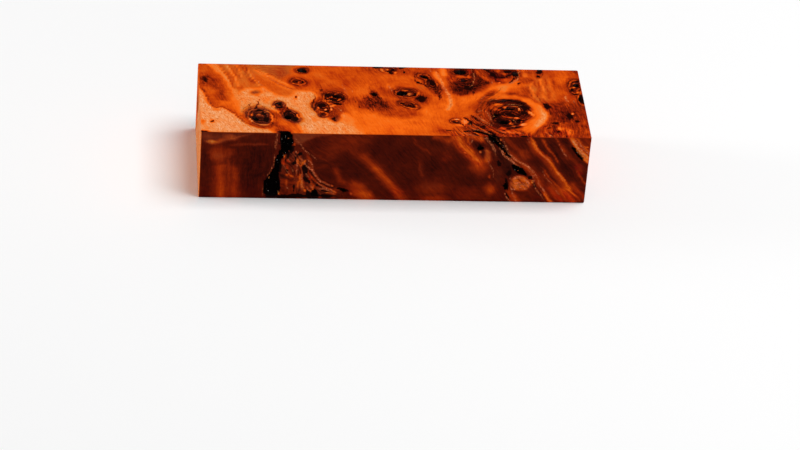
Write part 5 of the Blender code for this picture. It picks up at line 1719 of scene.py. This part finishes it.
# %% Turn the tone into colour
TONE_STOPS = (0.00, 0.15, 0.27, 0.38, 0.47, 0.55, 0.65, 0.75, 0.86, 1.00)
ORANGE = [
    (255, 196, 148), (243, 148, 82), (244, 122, 42), (246, 103, 14), (216, 80, 7),
    (184, 57, 5), (140, 37, 5), (96, 21, 4), (54, 10, 4), (12, 4, 3),
]
RED = [
    (255, 186, 158), (246, 140, 98), (244, 104, 54), (240, 76, 22), (212, 52, 8),
    (180, 34, 6), (136, 20, 6), (92, 11, 7), (52, 6, 6), (12, 3, 4),
]
BROWN = [
    (236, 200, 172), (230, 150, 92), (216, 124, 54), (202, 100, 32), (180, 80, 24),
    (150, 62, 28), (114, 43, 22), (82, 29, 16), (48, 17, 10), (10, 6, 5),
]
PORE_BROWN = from_srgb(196, 100, 50)
PORE_SHARE = 0.62


def wood_ramp(colours):
    """One kind of wood: the stirred tone turned into its colours."""
    stops = [(at, from_srgb(*colour)) for at, colour in zip(TONE_STOPS, colours)]
    return burl.node("ShaderNodeValToRGB", {"stops": stops}, {0: stirred})


orange_wood = wood_ramp(ORANGE)
red_wood = wood_ramp(RED)
brown_wood = wood_ramp(BROWN)
scraps = burl.ripple(spot_mm, 0.9, 2.0, 0.5)
stirred_warm = warm + cloud * 1.2 + fibre * (0.8 - deep * 0.5) + crust * scraps * 3.0
colour = burl.mix(burl.step(stirred_warm, 0.0, 1.0), orange_wood, red_wood)
colour = burl.mix(burl.step(stirred_warm, 0.0, -1.0), colour, brown_wood)
colour = burl.mix(pores * pale_wood * (1.0 - frayed) * PORE_SHARE, colour, PORE_BROWN)
print("The colour ramps are set")

# %% [markdown]
# The crisp lines are drawn from distances: where the number is above zero the point is inside
# the line. A little noise on the distance makes the line's edge grow and shrink like wood. The
# voids are black, with a few pale dots painted in as highlights, the sparkle of resin catching
# the light. They cover the dark lines, and the pale lips of bark run on over them.

# %% Lay the lines and the voids
PALE_EDGE = (-0.18, 0.32)
DARK_EDGE = (-0.14, 0.25)
DARK_SHARE = 0.75
VOID_DEPTH = (0.10, 0.40)
SPARKLE_SIZE = (0.14, 0.06)
FRESH_TOP = from_srgb(250, 152, 80)
FRESH_SIDE = from_srgb(250, 132, 84)
WORN_LIP = from_srgb(190, 92, 48)
DARK_FOLD = from_srgb(46, 10, 4)
VOID_BLACK = from_srgb(9, 4, 3)
PAINTED_SPARKLE = from_srgb(190, 184, 176)

wobble = grit * 0.5
pale_line = burl.step(burl.attribute("pale") + wobble + fine_fibre * 0.3, *PALE_EDGE)
dark_line = burl.step(burl.attribute("dark") + wobble, *DARK_EDGE)
fresh_pale = burl.mix(deep, FRESH_TOP, FRESH_SIDE)
pale_colour = burl.mix(burl.step(scraps + grit * 0.5, -0.02, 0.10), WORN_LIP, fresh_pale)
colour = burl.mix(dark_line * DARK_SHARE, colour, DARK_FOLD)

void = burl.step(sink_depth, *VOID_DEPTH)
# Painted highlights: pale dots in the sides' voids stand for light sparkling off the resin.
sparkle_cells = burl.node("ShaderNodeTexVoronoi", {"feature": "F1"}, {"Vector": spot_mm, "Scale": 0.9})
painted_sparkle = burl.step(sparkle_cells, *SPARKLE_SIZE) * deep
void_colour = burl.mix(painted_sparkle, VOID_BLACK, PAINTED_SPARKLE)
colour = burl.mix(void * burl.step(tone, 0.2, 0.4), colour, void_colour)
worn_on_top = (0.62 + grit * 1.1 + fibre * 0.8) * (1.0 - deep)
worn_on_side = burl.step(grit + fine_fibre * 0.6, -0.22, 0.10) * deep
worn = worn_on_top + worn_on_side
colour = burl.mix(pale_line * worn * (1.0 - void * 0.4), colour, pale_colour)
burl.feed(burl.principled.inputs["Base Color"], colour)
print("The colour is laid with", len(burl.tree.nodes), "nodes")

# %% [markdown]
# The block is sanded to a satin, so its gloss is soft and even, with the fibres just felt in it.
# The voids are wet-looking with cured resin, and their bark is rough to the touch.

# %% Finish the surface
SATIN = 0.42
SHEEN = 0.02
RELIEF_STRENGTH = 0.35
RELIEF_DEPTH = 0.12 * MM

gloss = SATIN + fine_fibre * 0.16 + grit * 0.08 - void * (0.12 - grit * 0.2)
burl.feed(burl.principled.inputs["Roughness"], gloss)
burl.principled.inputs["Specular IOR Level"].default_value = SHEEN
relief = fine_fibre * 0.25 + fibre * 0.3 + grit * (0.12 + crust * 1.2 + void * 2.4) - dark_line * 0.5
bump_sockets = {"Strength": RELIEF_STRENGTH, "Distance": RELIEF_DEPTH, "Height": relief}
bump = burl.node("ShaderNodeBump", None, bump_sockets)
burl.feed(burl.principled.inputs["Normal"], bump)
block.data.materials.clear()
block.data.materials.append(burl.material)
print("The burl's material has", len(burl.tree.nodes), "nodes")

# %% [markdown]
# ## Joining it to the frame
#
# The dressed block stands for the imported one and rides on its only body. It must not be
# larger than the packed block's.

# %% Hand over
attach(block, "root")
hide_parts("burl_block")
